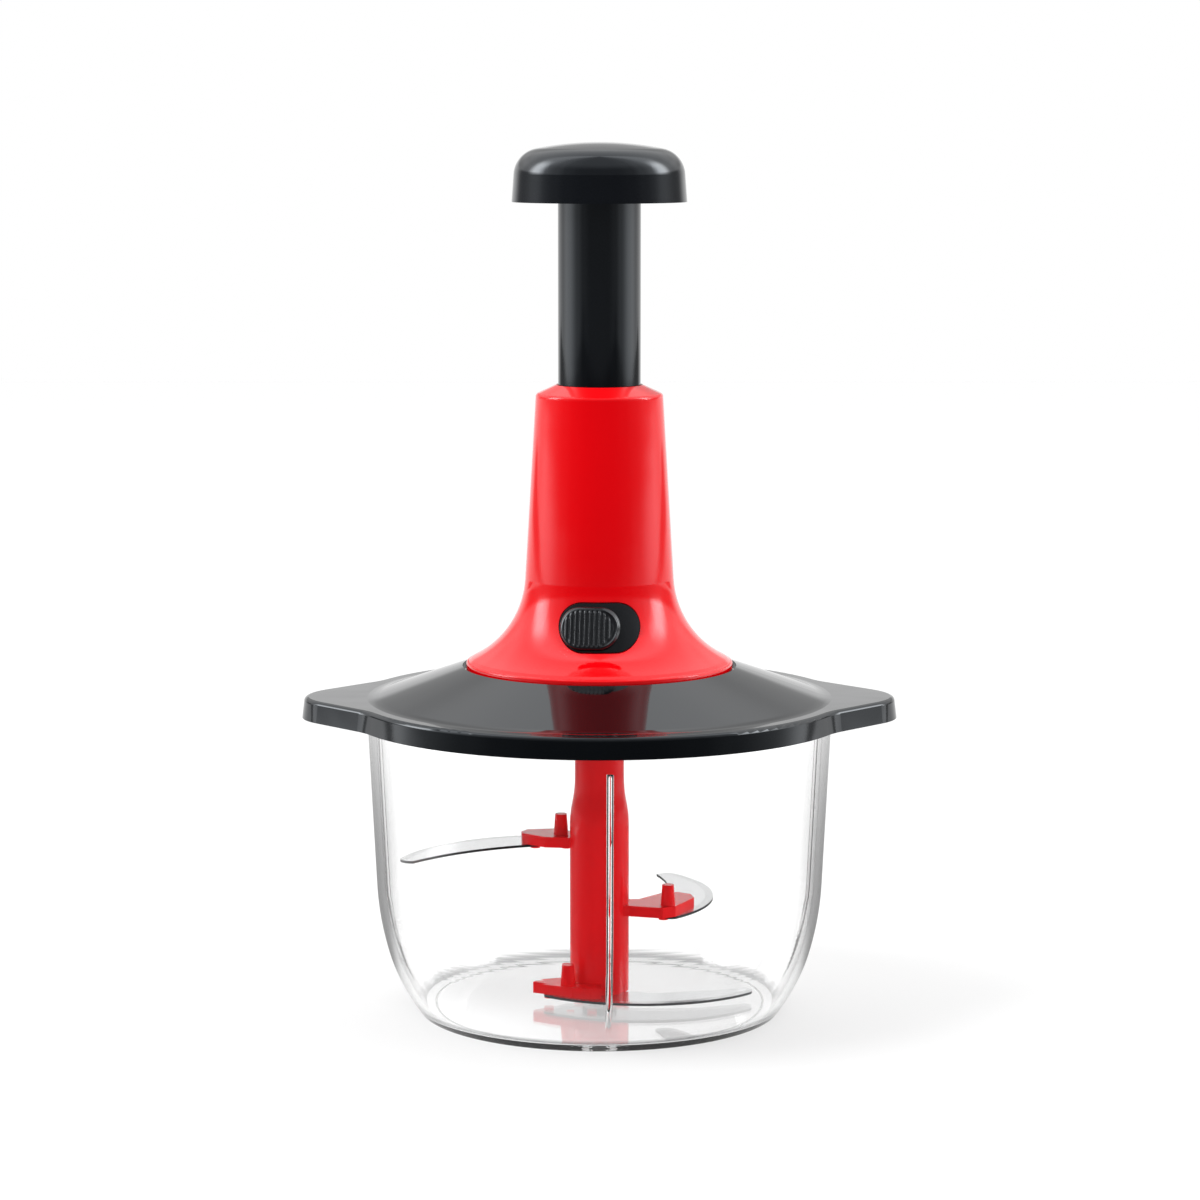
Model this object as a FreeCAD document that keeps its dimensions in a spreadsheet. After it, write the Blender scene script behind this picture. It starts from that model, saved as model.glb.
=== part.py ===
import FreeCAD, Part
import math
import os
import re

import Sketcher

# Hand-press food chopper: a clear bowl, a push-fit lid with two ears, a tower on the lid and a
# sprung plunger whose nut turns a twisted bar, a dog clutch and a blade carrier in the bowl.
# Millimetres. Origin: centre of the bowl's foot. +Z up, ears along X, lock switch towards -Y.

DOC = FreeCAD.newDocument("FoodChopper")
SHEET = DOC.addObject("Spreadsheet::Sheet", "Sizes")

SIZES = {
    # bowl
    "bowl_height": 107.5,
    "bowl_rim_radius": 80.6,
    "bowl_wall": 2.6,
    "bowl_draft": 2.7,
    "bowl_shoulder_height": 45.0,
    "bowl_shoulder_radius": 100.0,
    "bowl_lower_turn": 16.5,
    "bowl_belly_radius": 66.0,
    "bowl_floor": 2.8,
    "bowl_foot_width": 5.0,
    "bowl_foot_recess": 0.8,
    "bowl_edge_fillet": 1.0,
    "rim_bead_width": 1.6,
    "rim_bead_height": 3.4,
    "bowl_rib_width": 2.0,
    "bowl_rib_depth": 1.5,
    "bowl_rib_top": 97.0,
    "bowl_rib_bottom": 9.0,
    "bowl_rib_count": 4,
    "bowl_rib_azimuth": 2.6,
    "bowl_boss_radius": 6.0,
    "bowl_boss_height": 2.2,
    # pivot pin in the bowl's floor
    "pivot_radius": 2.5,
    "pivot_length": 22.6,
    "pivot_seat": 1.4,
    "running_gap": 0.05,
    "end_gap": 0.3,
    # lid
    "rim_gap": 0.3,
    "skirt_gap": 0.8,
    "lid_edge_thickness": 2.6,
    "lid_skirt_drop": 4.7,
    "lid_wall": 2.5,
    "lid_slope": 19.4,
    "lid_edge_fillet": 1.5,
    "skirt_draft": 7.0,
    "flange_width": 7.0,
    "flange_blend": 12.0,
    "recess_radius": 47.5,
    "recess_depth": 1.3,
    "plug_gap": 1.0,
    "plug_depth": 4.0,
    "plug_wall": 3.4,
    "hub_wall": 4.5,
    "hub_drop": 5.0,
    "ear_length": 16.9,
    "ear_tip_radius": 22.0,
    "ear_flank_angle": 47.0,
    "ear_root_angle": 26.5,
    "ear_blend_radius": 30.0,
    "ear_thickness": 2.4,
    "ear_pocket_angle": 17.0,
    "ear_pocket_inset": 0.8,
    # seal on the lid's plug
    "seal_groove_depth": 1.1,
    "seal_height": 2.6,
    "seal_gap": 0.3,
    "seal_lip": 0.7,
    # tower
    "tower_base_radius": 46.2,
    "tower_lip_height": 3.0,
    "tower_lip_fillet": 0.9,
    "tower_foot_width": 2.8,
    "tower_wall": 2.5,
    "tower_flare_radius": 33.0,
    "tower_flare_turn": 64.0,
    "tower_waist_radius": 25.7,
    "tower_waist_height": 31.7,
    "tower_draft": 3.2,
    "tower_top_slope": 2.8,
    "tower_top_round": 1.4,
    "tower_top_plate": 5.0,
    "collar_length": 17.0,
    "collar_wall": 2.4,
    "collar_chamfer": 0.4,
    "boss_ring": 33.0,
    "boss_radius": 3.6,
    "boss_height": 7.7,
    "tower_screw_count": 4,
    # key guides in the tower
    "key_width": 6.0,
    "key_reach": 3.4,
    "key_height": 7.5,
    "key_gap": 0.3,
    "key_top_gap": 0.5,
    "guide_wall": 2.0,
    "guide_inset": 0.3,
    "channel_overrun": 1.0,
    "guide_turn": 30.0,
    # plunger
    "tube_radius": 14.2,
    "tube_gap": 0.4,
    "tube_wall": 2.3,
    "stroke": 60.0,
    "housing_clearance": 1.6,
    "cap_height": 20.3,
    "cap_underside": 281.0,
    "cap_radius": 30.0,
    "cap_draft": 4.2,
    "cap_side_height": 9.5,
    "cap_shoulder_radius": 9.5,
    "cap_shoulder_turn": 78.8,
    "cap_wall": 2.3,
    "cap_collar_wall": 2.2,
    "cap_collar_drop": 2.0,
    "tube_insertion": 11.0,
    "tube_flange": 3.0,
    "tube_bore": 5.8,
    "cap_screw_ring": 8.7,
    "cap_screw_boss": 3.0,
    # lock switch
    "lock_height": 18.4,
    "bezel_width": 27.4,
    "bezel_height": 16.0,
    "bezel_radius": 30.4,
    "bezel_lean": 19.0,
    "bezel_thickness": 2.4,
    "window_gap": 0.2,
    "slider_width": 20.6,
    "slider_height": 14.0,
    "slider_thickness": 1.7,
    "slider_gap": 0.3,
    "slider_azimuth": 5.9,
    "slider_travel": 12.4,
    "stem_width": 3.4,
    "stem_height": 3.6,
    "stem_reach": 15.2,
    "slot_gap": 0.6,
    "catch_half_angle": 4.2,
    "catch_reach": 3.0,
    "catch_gap": 0.4,
    # clutch and output
    "bush_radius": 6.0,
    "bush_flange_radius": 8.5,
    "bush_flange": 1.0,
    "spindle_radius": 4.0,
    "disc_radius": 11.2,
    "disc_thickness": 3.0,
    "dog_height": 1.7,
    "dog_inner_radius": 7.0,
    "dog_outer_radius": 10.8,
    "dog_angle": 26.0,
    "dog_count": 6,
    "clutch_gap": 0.2,
    "housing_height": 12.0,
    "housing_radius": 15.0,
    "housing_wall": 2.4,
    "housing_roof": 2.0,
    "housing_bore": 5.2,
    "housing_flange_radius": 23.0,
    "housing_flange": 2.5,
    "housing_screw_ring": 18.8,
    "housing_screw_count": 3,
    "clip_radius": 6.6,
    "clip_thickness": 0.8,
    "clip_groove_depth": 0.6,
    "hex_across_flats": 9.0,
    "hex_gap": 0.15,
    "hex_length": 11.0,
    "carrier_top_gap": 1.0,
    # drive bar, nut and spring
    "bar_width": 8.0,
    "bar_thickness": 3.0,
    "bar_lead": 40.0,
    "bar_foot_radius": 4.5,
    "bar_foot_floor": 1.0,
    "bar_foot_overlap": 1.0,
    "bar_overrun": 3.0,
    "nut_height": 6.0,
    "nut_rest_drop": 50.0,
    "nut_gap": 0.2,
    "nut_shoulder": 2.0,
    "slot_overrun": 1.0,
    "spring_wire_radius": 0.6,
    "spring_radius": 8.6,
    "spring_turns": 14.0,
    "washer_thickness": 0.8,
    "washer_radius": 10.5,
    # screws
    "screw_radius": 1.5,
    "screw_head_radius": 2.7,
    "screw_head_height": 1.8,
    "screw_length": 9.0,
    "screw_boss_wall": 0.8,
    "drill_extra": 0.2,
    "cap_screw_radius": 1.25,
    "cap_screw_head_radius": 2.2,
    "cap_screw_head_height": 1.5,
    "cap_screw_length": 7.5,
    # blade carrier
    "carrier_radius": 10.3,
    "carrier_neck_radius": 8.55,
    "carrier_foot": 6.25,
    "carrier_swell_top": 82.0,
    "carrier_swell_bottom": 65.0,
    "carrier_bore_depth": 62.0,
    "arm_thickness": 3.75,
    "middle_arm_height": 33.7,
    "top_arm_height": 56.8,
    "peg_radius": 2.6,
    "peg_height": 7.3,
    "peg_draft": 4.5,
    "stake_radius": 1.0,
    "stake_head_radius": 1.7,
    "stake_head_height": 0.9,
    "stake_square": 2.6,
    # blades
    "blade_thickness": 0.9,
    "blade_wall_gap": 4.9,
    "plan_step_count": 73.1,
    "blade_sweep": 90.0,
}

# Levels and radii that follow from the sizes above.
DERIVED = {
    "bowl_inner_rim": "bowl_rim_radius - bowl_wall",
    "plan_step": "(bowl_inner_rim - blade_wall_gap) / plan_step_count",
    "blade_arc_radius": "54 * plan_step",
    "blade_back_radius": "76 * plan_step",
    "blade_root_width": "14 * plan_step",
    "blade_tip_width": "5.5 * plan_step",
    "blade_tip_fillet": "4.5 * plan_step",
    "blade_root_fillet": "2.5 * plan_step",
    "shoulder_x": "bowl_rim_radius - (bowl_height - bowl_shoulder_height) * tan(bowl_draft)",
    "belly_x": "shoulder_x - bowl_shoulder_radius * (cos(bowl_draft) - cos(bowl_lower_turn))",
    "belly_z": "bowl_shoulder_height - bowl_shoulder_radius * (sin(bowl_lower_turn) - sin(bowl_draft))",
    "foot_sine": "sin(bowl_lower_turn) + belly_z / bowl_belly_radius",
    "foot_x": "belly_x - bowl_belly_radius * (cos(bowl_lower_turn) - sqrt(1 - foot_sine ^ 2))",
    "boss_top": "bowl_floor + bowl_boss_height",
    "pivot_top": "pivot_seat + pivot_length",
    "lid_underside": "bowl_height + rim_gap",
    "lid_edge_z": "lid_underside + lid_edge_thickness",
    "skirt_bottom": "lid_underside - lid_skirt_drop",
    "skirt_inner": "bowl_rim_radius + rim_bead_width + skirt_gap",
    "lid_rim_radius": "skirt_inner + lid_wall",
    "skirt_outer": "lid_rim_radius + (lid_edge_z - skirt_bottom) * tan(skirt_draft)",
    "ear_reach": "skirt_outer + ear_length",
    "dome_radius": "lid_rim_radius - flange_width",
    "recess_edge_z": "lid_edge_z + (dome_radius - recess_radius) * tan(lid_slope)",
    "seat_z": "recess_edge_z - recess_depth",
    "seat_under": "seat_z - lid_wall",
    "plug_radius": "bowl_inner_rim - plug_gap",
    "plug_inner": "plug_radius - plug_wall",
    "plug_bottom": "lid_underside - plug_depth",
    "seal_inner": "plug_radius - seal_groove_depth",
    "seal_outer": "bowl_inner_rim - seal_gap",
    "seal_bottom": "plug_bottom + (plug_depth - seal_height) / 2",
    "seal_top": "seal_bottom + seal_height",
    "hub_radius": "bush_radius + hub_wall",
    "hub_bottom": "seat_under - hub_drop",
    "tower_height": "housing_height + housing_clearance + stroke + key_height + key_top_gap + collar_length",
    "tower_top": "seat_z + tower_height",
    "waist_z": "seat_z + tower_waist_height",
    "flare_centre_x": "tower_waist_radius + tower_flare_radius * cos(tower_draft)",
    "flare_centre_z": "waist_z + tower_flare_radius * sin(tower_draft)",
    "collar_inner": "tube_radius + tube_gap",
    "collar_outer": "collar_inner + collar_wall",
    "collar_bottom": "tower_top - collar_length",
    "tower_top_radius": "tower_waist_radius - (tower_height - tower_waist_height) * tan(tower_draft)",
    "key_top": "collar_bottom - key_top_gap",
    "tube_bottom": "key_top - key_height",
    "tube_inner": "tube_radius - tube_wall",
    "tube_top": "cap_underside + tube_insertion",
    "housing_top": "seat_z + housing_height",
    "nut_top": "cap_underside - nut_rest_drop",
    "nut_bottom": "nut_top - nut_height",
    "bar_top": "nut_top + bar_overrun",
    "cap_shoulder_x": "cap_radius - cap_side_height * tan(cap_draft)",
    "cap_shoulder_z": "cap_underside + cap_side_height",
    "crown_x": "cap_shoulder_x - cap_shoulder_radius * (cos(cap_draft) - cos(cap_shoulder_turn))",
    "crown_z": "cap_shoulder_z + cap_shoulder_radius * (sin(cap_shoulder_turn) - sin(cap_draft))",
    "crown_radius": "crown_x / cos(cap_shoulder_turn)",
    "cap_ceiling": "cap_underside + cap_height - cap_wall",
    "lock_z": "seat_z + lock_height",
    "catch_top": "lock_z - stem_height / 2 - catch_gap + stroke",
    "bush_top": "seat_z + bush_flange",
    "driven_bottom": "bush_top + clutch_gap",
    "driven_top": "driven_bottom + disc_thickness",
    "driver_bottom": "driven_top + dog_height + clutch_gap",
    "driver_top": "driver_bottom + disc_thickness",
    "bar_foot_bottom": "driver_bottom + bar_foot_floor",
    "bar_foot_top": "driver_top + clutch_gap",
    "clip_groove": "spindle_radius - clip_groove_depth",
    "clip_top": "hub_bottom - clutch_gap",
    "clip_bottom": "clip_top - clip_thickness",
    "carrier_top": "clip_bottom - carrier_top_gap",
    "bottom_arm_height": "carrier_foot",
    "washer_top": "housing_top + washer_thickness",
}

for row, (alias, value) in enumerate(SIZES.items(), start=1):
    SHEET.set(f"A{row}", alias)
    SHEET.set(f"B{row}", str(value))
    SHEET.setAlias(f"B{row}", alias)
DOC.recompute()


def expand(expression):
    """Write derived names out in full and point every size at its cell in the sheet."""

    def swap(match):
        word = match.group(0)
        if word in DERIVED:
            return f"({expand(DERIVED[word])})"
        if word in SIZES:
            return f"Sizes.{word}"
        return word

    return re.sub(r"[A-Za-z_]\w*", swap, str(expression))


def number(expression):
    """The value of an expression of sizes, in millimetres or degrees."""
    return float(SHEET.evalExpression(expand(expression)))


def bind(owner, path, expression):
    """Tie one property or constraint of an object to an expression of sizes."""
    owner.setExpression(path, expand(expression))


def new_body(label):
    body = DOC.addObject("PartDesign::Body", label)
    body.Label = label
    return body


def origin_feature(body, role):
    return next(item for item in body.Origin.OriginFeatures if item.Role == role)


def new_sketch(body, name, plane="XZ_Plane", offset="0"):
    """A sketch on one of the body's own planes, moved along the plane's normal by offset."""
    sketch = body.newObject("Sketcher::SketchObject", name)
    sketch.AttachmentSupport = (origin_feature(body, plane), [""])
    sketch.MapMode = "FlatFace"
    bind(sketch, "AttachmentOffset.Base.z", offset)
    return sketch


def pin_distance(sketch, kind, geometry, vertex, expression):
    """Fix how far a vertex lies from the sketch's origin along one of its axes."""
    value = number(expression)
    index = sketch.addConstraint(Sketcher.Constraint(kind, -1, 1, geometry, vertex, value))
    bind(sketch, f"Constraints[{index}]", expression)


def pin_vertex(sketch, geometry, vertex, corner):
    """Fix a vertex of a curve at a pair of expressions measured from the sketch's origin."""
    pin_distance(sketch, "DistanceX", geometry, vertex, corner[0])
    pin_distance(sketch, "DistanceY", geometry, vertex, corner[1])


def pin_radius(sketch, geometry, radius):
    index = sketch.addConstraint(Sketcher.Constraint("Radius", geometry, number(radius)))
    bind(sketch, f"Constraints[{index}]", radius)


def outline(sketch, corners, arcs=None):
    """Close a loop through the corners.

    arcs maps an edge, counted from 0 at its first corner, to (radius, side). Side is 1 where the
    arc's centre lies to the left of the way from that corner to the next, and -1 to the right. A
    half circle, whose ends already give its radius, is tied by its centre instead.
    """
    arcs = arcs or {}
    points = [FreeCAD.Vector(number(x), number(y), 0) for x, y in corners]
    ends = []
    for index, start in enumerate(points):
        end = points[(index + 1) % len(points)]
        if index not in arcs:
            geometry = sketch.addGeometry(Part.LineSegment(start, end), False)
            ends.append((geometry, 1, 2))
            continue
        radius, side = arcs[index]
        size = number(radius)
        chord = end - start
        left = FreeCAD.Vector(-chord.y, chord.x, 0).normalize()
        rise = math.sqrt(max(size ** 2 - (chord.Length / 2) ** 2, 0.0))
        centre = start + chord * 0.5 + left * (rise * side)
        circle = Part.Circle(centre, FreeCAD.Vector(0, 0, 1), size)
        first, last = (start, end) if side > 0 else (end, start)
        begin = math.atan2(first.y - centre.y, first.x - centre.x)
        finish = math.atan2(last.y - centre.y, last.x - centre.x)
        geometry = sketch.addGeometry(Part.ArcOfCircle(circle, begin, finish), False)
        ends.append((geometry, 1, 2) if side > 0 else (geometry, 2, 1))
        if rise > 0.01:
            pin_radius(sketch, geometry, radius)
        else:
            pin_distance(sketch, "DistanceX", geometry, 3, corners[index][0])
    for index, (geometry, _, tail) in enumerate(ends):
        following, head, _ = ends[(index + 1) % len(ends)]
        sketch.addConstraint(Sketcher.Constraint("Coincident", geometry, tail, following, head))
    for corner, (geometry, head, _) in zip(corners, ends):
        pin_vertex(sketch, geometry, head, corner)
    return sketch


def circle(sketch, x, y, radius):
    """A circle with its centre and radius tied to expressions."""
    centre = FreeCAD.Vector(number(x), number(y), 0)
    shape = Part.Circle(centre, FreeCAD.Vector(0, 0, 1), number(radius))
    geometry = sketch.addGeometry(shape, False)
    pin_radius(sketch, geometry, radius)
    pin_vertex(sketch, geometry, 3, (x, y))
    return sketch


def racetrack(sketch, z, width, height):
    """A slot outline with round ends, centred on the sketch's vertical axis at the given level."""
    flat = f"({width} - {height}) / 2"
    low = f"{z} - {height} / 2"
    high = f"{z} + {height} / 2"
    corners = [(f"-{flat}", low), (flat, low), (flat, high), (f"-{flat}", high)]
    return outline(sketch, corners, {1: (f"{height} / 2", 1), 3: (f"{height} / 2", 1)})


def rectangle(sketch, left, right, low, high):
    return outline(sketch, [(left, low), (right, low), (right, high), (left, high)])


def revolve(body, sketch, cut=False):
    kind = "PartDesign::Groove" if cut else "PartDesign::Revolution"
    feature = body.newObject(kind, f"{sketch.Name}Turn")
    feature.Profile = sketch
    feature.ReferenceAxis = (sketch, ["V_Axis"])
    feature.Angle = 360
    body.Tip = feature
    return feature


def extrude(body, sketch, length, cut=False, backwards=False, midplane=False, taper=None):
    """Pad or pocket a sketch. The way is along its plane's normal, or against it if backwards."""
    kind = "PartDesign::Pocket" if cut else "PartDesign::Pad"
    feature = body.newObject(kind, f"{sketch.Name}Run")
    feature.Profile = sketch
    bind(feature, "Length", length)
    feature.Midplane = midplane
    feature.Reversed = backwards != cut
    if taper is not None:
        bind(feature, "TaperAngle", taper)
    body.Tip = feature
    return feature


def around(body, features, count):
    """Repeat features evenly about the vertical axis."""
    pattern = body.newObject("PartDesign::PolarPattern", f"{features[-1].Name}Ring")
    pattern.Originals = features
    pattern.Axis = (origin_feature(body, "Z_Axis"), [""])
    pattern.Angle = 360
    bind(pattern, "Occurrences", count)
    body.Tip = pattern
    return pattern


def round_edges(body, base, wanted, radius, name):
    """Fillet the edges of base for which wanted(edge) is true."""
    DOC.recompute()
    names = [f"Edge{i}" for i, edge in enumerate(base.Shape.Edges, start=1) if wanted(edge)]
    feature = body.newObject("PartDesign::Fillet", name)
    feature.Base = (base, names)
    bind(feature, "Radius", radius)
    body.Tip = feature
    return feature


def ring_edge(radius, level):
    """A test for a full or part circle about the vertical axis at a radius and level."""
    target_radius = number(radius)
    target_level = number(level)

    def matches(edge):
        box = edge.BoundBox
        if box.ZLength > 0.02 or abs(box.ZMin - target_level) > 0.02:
            return False
        point = edge.valueAt((edge.FirstParameter + edge.LastParameter) / 2)
        on_circle = abs(math.hypot(point.x, point.y) - target_radius) < 0.02
        return on_circle and isinstance(edge.Curve, Part.Circle)

    return matches


def polar(radius, angle):
    """The x and y expressions of a point at a radius and an angle in degrees."""
    return f"({radius}) * cos({angle})", f"({radius}) * sin({angle})"


def turned_ring(label, corners, arcs=None):
    """A piece of revolution about the vertical axis from one closed outline."""
    body = new_body(label)
    revolve(body, outline(new_sketch(body, f"{label}_outline"), corners, arcs))
    return body


# ---------------------------------------------------------------- bowl

def make_bowl():
    body = new_body("bowl")
    wall = "bowl_wall"
    belly_inner = "(bowl_belly_radius - bowl_wall)"
    shoulder_inner = "(bowl_shoulder_radius - bowl_wall)"
    belly_centre_x = "(belly_x - bowl_belly_radius * cos(bowl_lower_turn))"
    belly_centre_z = "(belly_z + bowl_belly_radius * sin(bowl_lower_turn))"
    floor_rise = f"({belly_centre_z} - bowl_floor)"
    floor_x = f"{belly_centre_x} + sqrt({belly_inner} ^ 2 - {floor_rise} ^ 2)"
    inner_belly = (f"{belly_centre_x} + {belly_inner} * cos(bowl_lower_turn)",
                   f"{belly_centre_z} - {belly_inner} * sin(bowl_lower_turn)")
    inner_shoulder = (f"shoulder_x - {wall} * cos(bowl_draft)",
                      f"bowl_shoulder_height + {wall} * sin(bowl_draft)")
    foot_inner = "foot_x - bowl_foot_width"
    corners = [
        ("0", "bowl_foot_recess"),
        (foot_inner, "bowl_foot_recess"),
        (foot_inner, "0"),
        ("foot_x", "0"),
        ("belly_x", "belly_z"),
        ("shoulder_x", "bowl_shoulder_height"),
        ("bowl_rim_radius", "bowl_height - rim_bead_height"),
        ("bowl_rim_radius + rim_bead_width", "bowl_height - rim_bead_height"),
        ("bowl_rim_radius + rim_bead_width", "bowl_height"),
        ("bowl_inner_rim", "bowl_height"),
        inner_shoulder,
        inner_belly,
        (floor_x, "bowl_floor"),
        ("bowl_boss_radius", "bowl_floor"),
        ("bowl_boss_radius", "boss_top"),
        ("pivot_radius", "boss_top"),
        ("pivot_radius", "pivot_seat"),
        ("0", "pivot_seat"),
    ]
    arcs = {
        3: ("bowl_belly_radius", 1),
        4: ("bowl_shoulder_radius", 1),
        10: (shoulder_inner, -1),
        11: (belly_inner, -1),
    }
    shell = revolve(body, outline(new_sketch(body, "bowl_section"), corners, arcs))
    base = round_edges(body, shell, ring_edge("foot_x", "0"), "bowl_edge_fillet", "bowl_edge")
    round_edges(body, base, ring_edge(floor_x, "bowl_floor"), "bowl_edge_fillet", "bowl_inner_edge")
    # One rib up the inside of the wall, then the others around it. Its outer side lies in the
    # middle of the wall, and its inner side runs out into the wall at a point near the floor.
    half_wall = f"({wall} / 2)"

    def along_wall(inset):
        """Points at a depth inside the outer face, at the belly's and the shoulder's tangents."""
        belly = (f"{belly_centre_x} + (bowl_belly_radius - {inset}) * cos(bowl_lower_turn)",
                 f"{belly_centre_z} - (bowl_belly_radius - {inset}) * sin(bowl_lower_turn)")
        shoulder = (f"shoulder_x - {inset} * cos(bowl_draft)",
                    f"bowl_shoulder_height + {inset} * sin(bowl_draft)")
        return belly, shoulder

    mid_belly, mid_shoulder = along_wall(half_wall)
    deep_belly, deep_shoulder = along_wall("(bowl_wall + bowl_rib_depth)")
    rib_drop = f"({belly_centre_z} - bowl_rib_bottom)"
    rib_foot = f"{belly_centre_x} + sqrt((bowl_belly_radius - {half_wall}) ^ 2 - {rib_drop} ^ 2)"
    top_face = "(bowl_rim_radius - (bowl_height - bowl_rib_top) * tan(bowl_draft))"
    rib_corners = [
        (rib_foot, "bowl_rib_bottom"),
        mid_belly,
        mid_shoulder,
        (f"{top_face} - {half_wall}", "bowl_rib_top"),
        (f"{top_face} - bowl_wall - bowl_rib_depth / 3", "bowl_rib_top"),
        (f"{top_face} - bowl_wall - bowl_rib_depth", "bowl_rib_top - bowl_rib_width"),
        deep_shoulder,
        deep_belly,
    ]
    rib_arcs = {
        0: (f"bowl_belly_radius - {half_wall}", 1),
        1: (f"bowl_shoulder_radius - {half_wall}", 1),
        6: ("bowl_shoulder_radius - bowl_wall - bowl_rib_depth", -1),
    }
    rib = extrude(body, outline(new_sketch(body, "bowl_rib"), rib_corners, rib_arcs),
                  "bowl_rib_width", midplane=True)
    around(body, [rib], "bowl_rib_count")
    bind(body, "Placement.Rotation.Angle", "bowl_rib_azimuth")
    return body


def make_pivot_pin():
    corners = [
        ("0", "pivot_seat"),
        ("pivot_radius", "pivot_seat"),
        ("pivot_radius", "pivot_top - pivot_radius / 2"),
        ("pivot_radius / 2", "pivot_top"),
        ("0", "pivot_top"),
    ]
    return turned_ring("bowl_pivot_pin", corners, {2: ("pivot_radius / sqrt(2)", 1)})


# ---------------------------------------------------------------- lid

def make_lid():
    body = new_body("lid")
    # The brim is the skirt and both ears in one drafted plate.
    tip_centre = "(ear_reach - ear_tip_radius)"
    turn = "(90 - ear_root_angle - ear_flank_angle)"
    mean = "((90 - ear_root_angle + ear_flank_angle) / 2)"
    blend = f"(2 * ear_blend_radius * sin({turn} / 2))"
    edge = polar("skirt_outer", "-ear_root_angle")
    flank = (f"{edge[0]} + {blend} * cos({mean})", f"{edge[1]} + {blend} * sin({mean})")
    side = (f"{tip_centre} + ear_tip_radius * sin(ear_flank_angle)",
            "-ear_tip_radius * cos(ear_flank_angle)")
    lower = [edge, flank, side]
    right = lower + [(x, f"-({y})") for x, y in reversed(lower)]
    left = [(f"-({x})", y) for x, y in reversed(right)]
    arcs = {}
    for start in (0, len(right)):
        arcs[start] = ("ear_blend_radius", -1)
        arcs[start + 2] = ("ear_tip_radius", 1)
        arcs[start + 4] = ("ear_blend_radius", -1)
        arcs[start + 5] = ("skirt_outer", 1)
    plan = outline(new_sketch(body, "lid_brim", "XY_Plane", "skirt_bottom"), right + left, arcs)
    brim = extrude(body, plan, "lid_edge_z - skirt_bottom", taper="-skirt_draft")
    rim_radius = number("lid_rim_radius")
    rim_level = number("lid_edge_z")

    def outer_top(edge):
        middle = edge.valueAt((edge.FirstParameter + edge.LastParameter) / 2)
        on_top = edge.BoundBox.ZLength < 0.02 and abs(edge.BoundBox.ZMin - rim_level) < 0.02
        return on_top and math.hypot(middle.x, middle.y) > rim_radius - 0.1

    round_edges(body, brim, outer_top, "lid_edge_fillet", "lid_edge")
    hollow = circle(new_sketch(body, "lid_hollow", "XY_Plane", "skirt_bottom"), "0", "0", "skirt_inner")
    extrude(body, hollow, "lid_edge_z - skirt_bottom", cut=True)
    # The dome, the plug and the hub are turned.
    under_wall = "lid_wall / cos(lid_slope)"
    under_at_plug = f"lid_edge_z + (dome_radius - plug_inner) * tan(lid_slope) - {under_wall}"
    under_at_recess = ("lid_edge_z + (dome_radius - recess_radius - lid_wall) * tan(lid_slope)"
                       f" - {under_wall}")
    corners = [
        ("bush_radius", "seat_z"),
        ("recess_radius", "seat_z"),
        ("recess_radius", "recess_edge_z"),
        ("dome_radius", "lid_edge_z"),
        ("skirt_inner", "lid_edge_z"),
        ("skirt_inner", "lid_underside"),
        ("plug_radius", "lid_underside"),
        ("plug_radius", "seal_top"),
        ("seal_inner", "seal_top"),
        ("seal_inner", "seal_bottom"),
        ("plug_radius", "seal_bottom"),
        ("plug_radius", "plug_bottom"),
        ("plug_inner", "plug_bottom"),
        ("plug_inner", under_at_plug),
        ("recess_radius + lid_wall", under_at_recess),
        ("recess_radius + lid_wall", "seat_under"),
        ("hub_radius", "seat_under"),
        ("hub_radius", "hub_bottom"),
        ("bush_radius", "hub_bottom"),
    ]
    shell = revolve(body, outline(new_sketch(body, "lid_section"), corners))
    round_edges(body, shell, ring_edge("dome_radius", "lid_edge_z"), "flange_blend", "lid_flange")
    # Screw holes for the tower, and bosses under the seat for the clutch housing's screws.
    hole_sketch = circle(new_sketch(body, "lid_tower_hole", "XY_Plane", "seat_z"),
                         *polar("boss_ring", "45"), "screw_radius")
    hole = extrude(body, hole_sketch, "lid_wall", cut=True, backwards=True)
    around(body, [hole], "tower_screw_count")
    boss_sketch = circle(new_sketch(body, "lid_boss", "XY_Plane", "seat_under"),
                         *polar("housing_screw_ring", "90"), "screw_head_radius + screw_boss_wall")
    boss = extrude(body, boss_sketch, "hub_drop", backwards=True)
    bore_sketch = circle(new_sketch(body, "lid_boss_bore", "XY_Plane", "seat_z"),
                         *polar("housing_screw_ring", "90"), "screw_radius")
    around(body, [boss], "housing_screw_count")
    bore = extrude(body, bore_sketch, "screw_length - housing_flange + drill_extra", cut=True, backwards=True)
    around(body, [bore], "housing_screw_count")
    # Each ear is hollow from below.
    inner_radius = "(lid_rim_radius + ear_pocket_inset)"
    pocket_side = (f"{tip_centre} + (ear_tip_radius - lid_wall) * sin(ear_flank_angle)",
                   "-(ear_tip_radius - lid_wall) * cos(ear_flank_angle)")
    lower = [polar(inner_radius, "-ear_pocket_angle"), pocket_side]
    upper = [(x, f"-({y})") for x, y in reversed(lower)]
    arcs = {1: ("ear_tip_radius - lid_wall", 1), 3: (inner_radius, -1)}
    pocket_sketch = outline(new_sketch(body, "ear_hollow", "XY_Plane", "skirt_bottom"), lower + upper, arcs)
    pocket = extrude(body, pocket_sketch, "lid_edge_z - skirt_bottom - ear_thickness", cut=True)
    around(body, [pocket], "2")
    return body


def make_lid_seal():
    lip = "seal_outer - seal_lip"
    step = "seal_height / 5"
    corners = [
        ("seal_inner", "seal_bottom"),
        (lip, "seal_bottom"),
        ("seal_outer", f"seal_bottom + {step}"),
        (lip, f"seal_bottom + 2 * {step}"),
        (lip, f"seal_bottom + 3 * {step}"),
        ("seal_outer", f"seal_bottom + 4 * {step}"),
        (lip, "seal_top"),
        ("seal_inner", "seal_top"),
    ]
    return turned_ring("lid_seal", corners)


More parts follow.
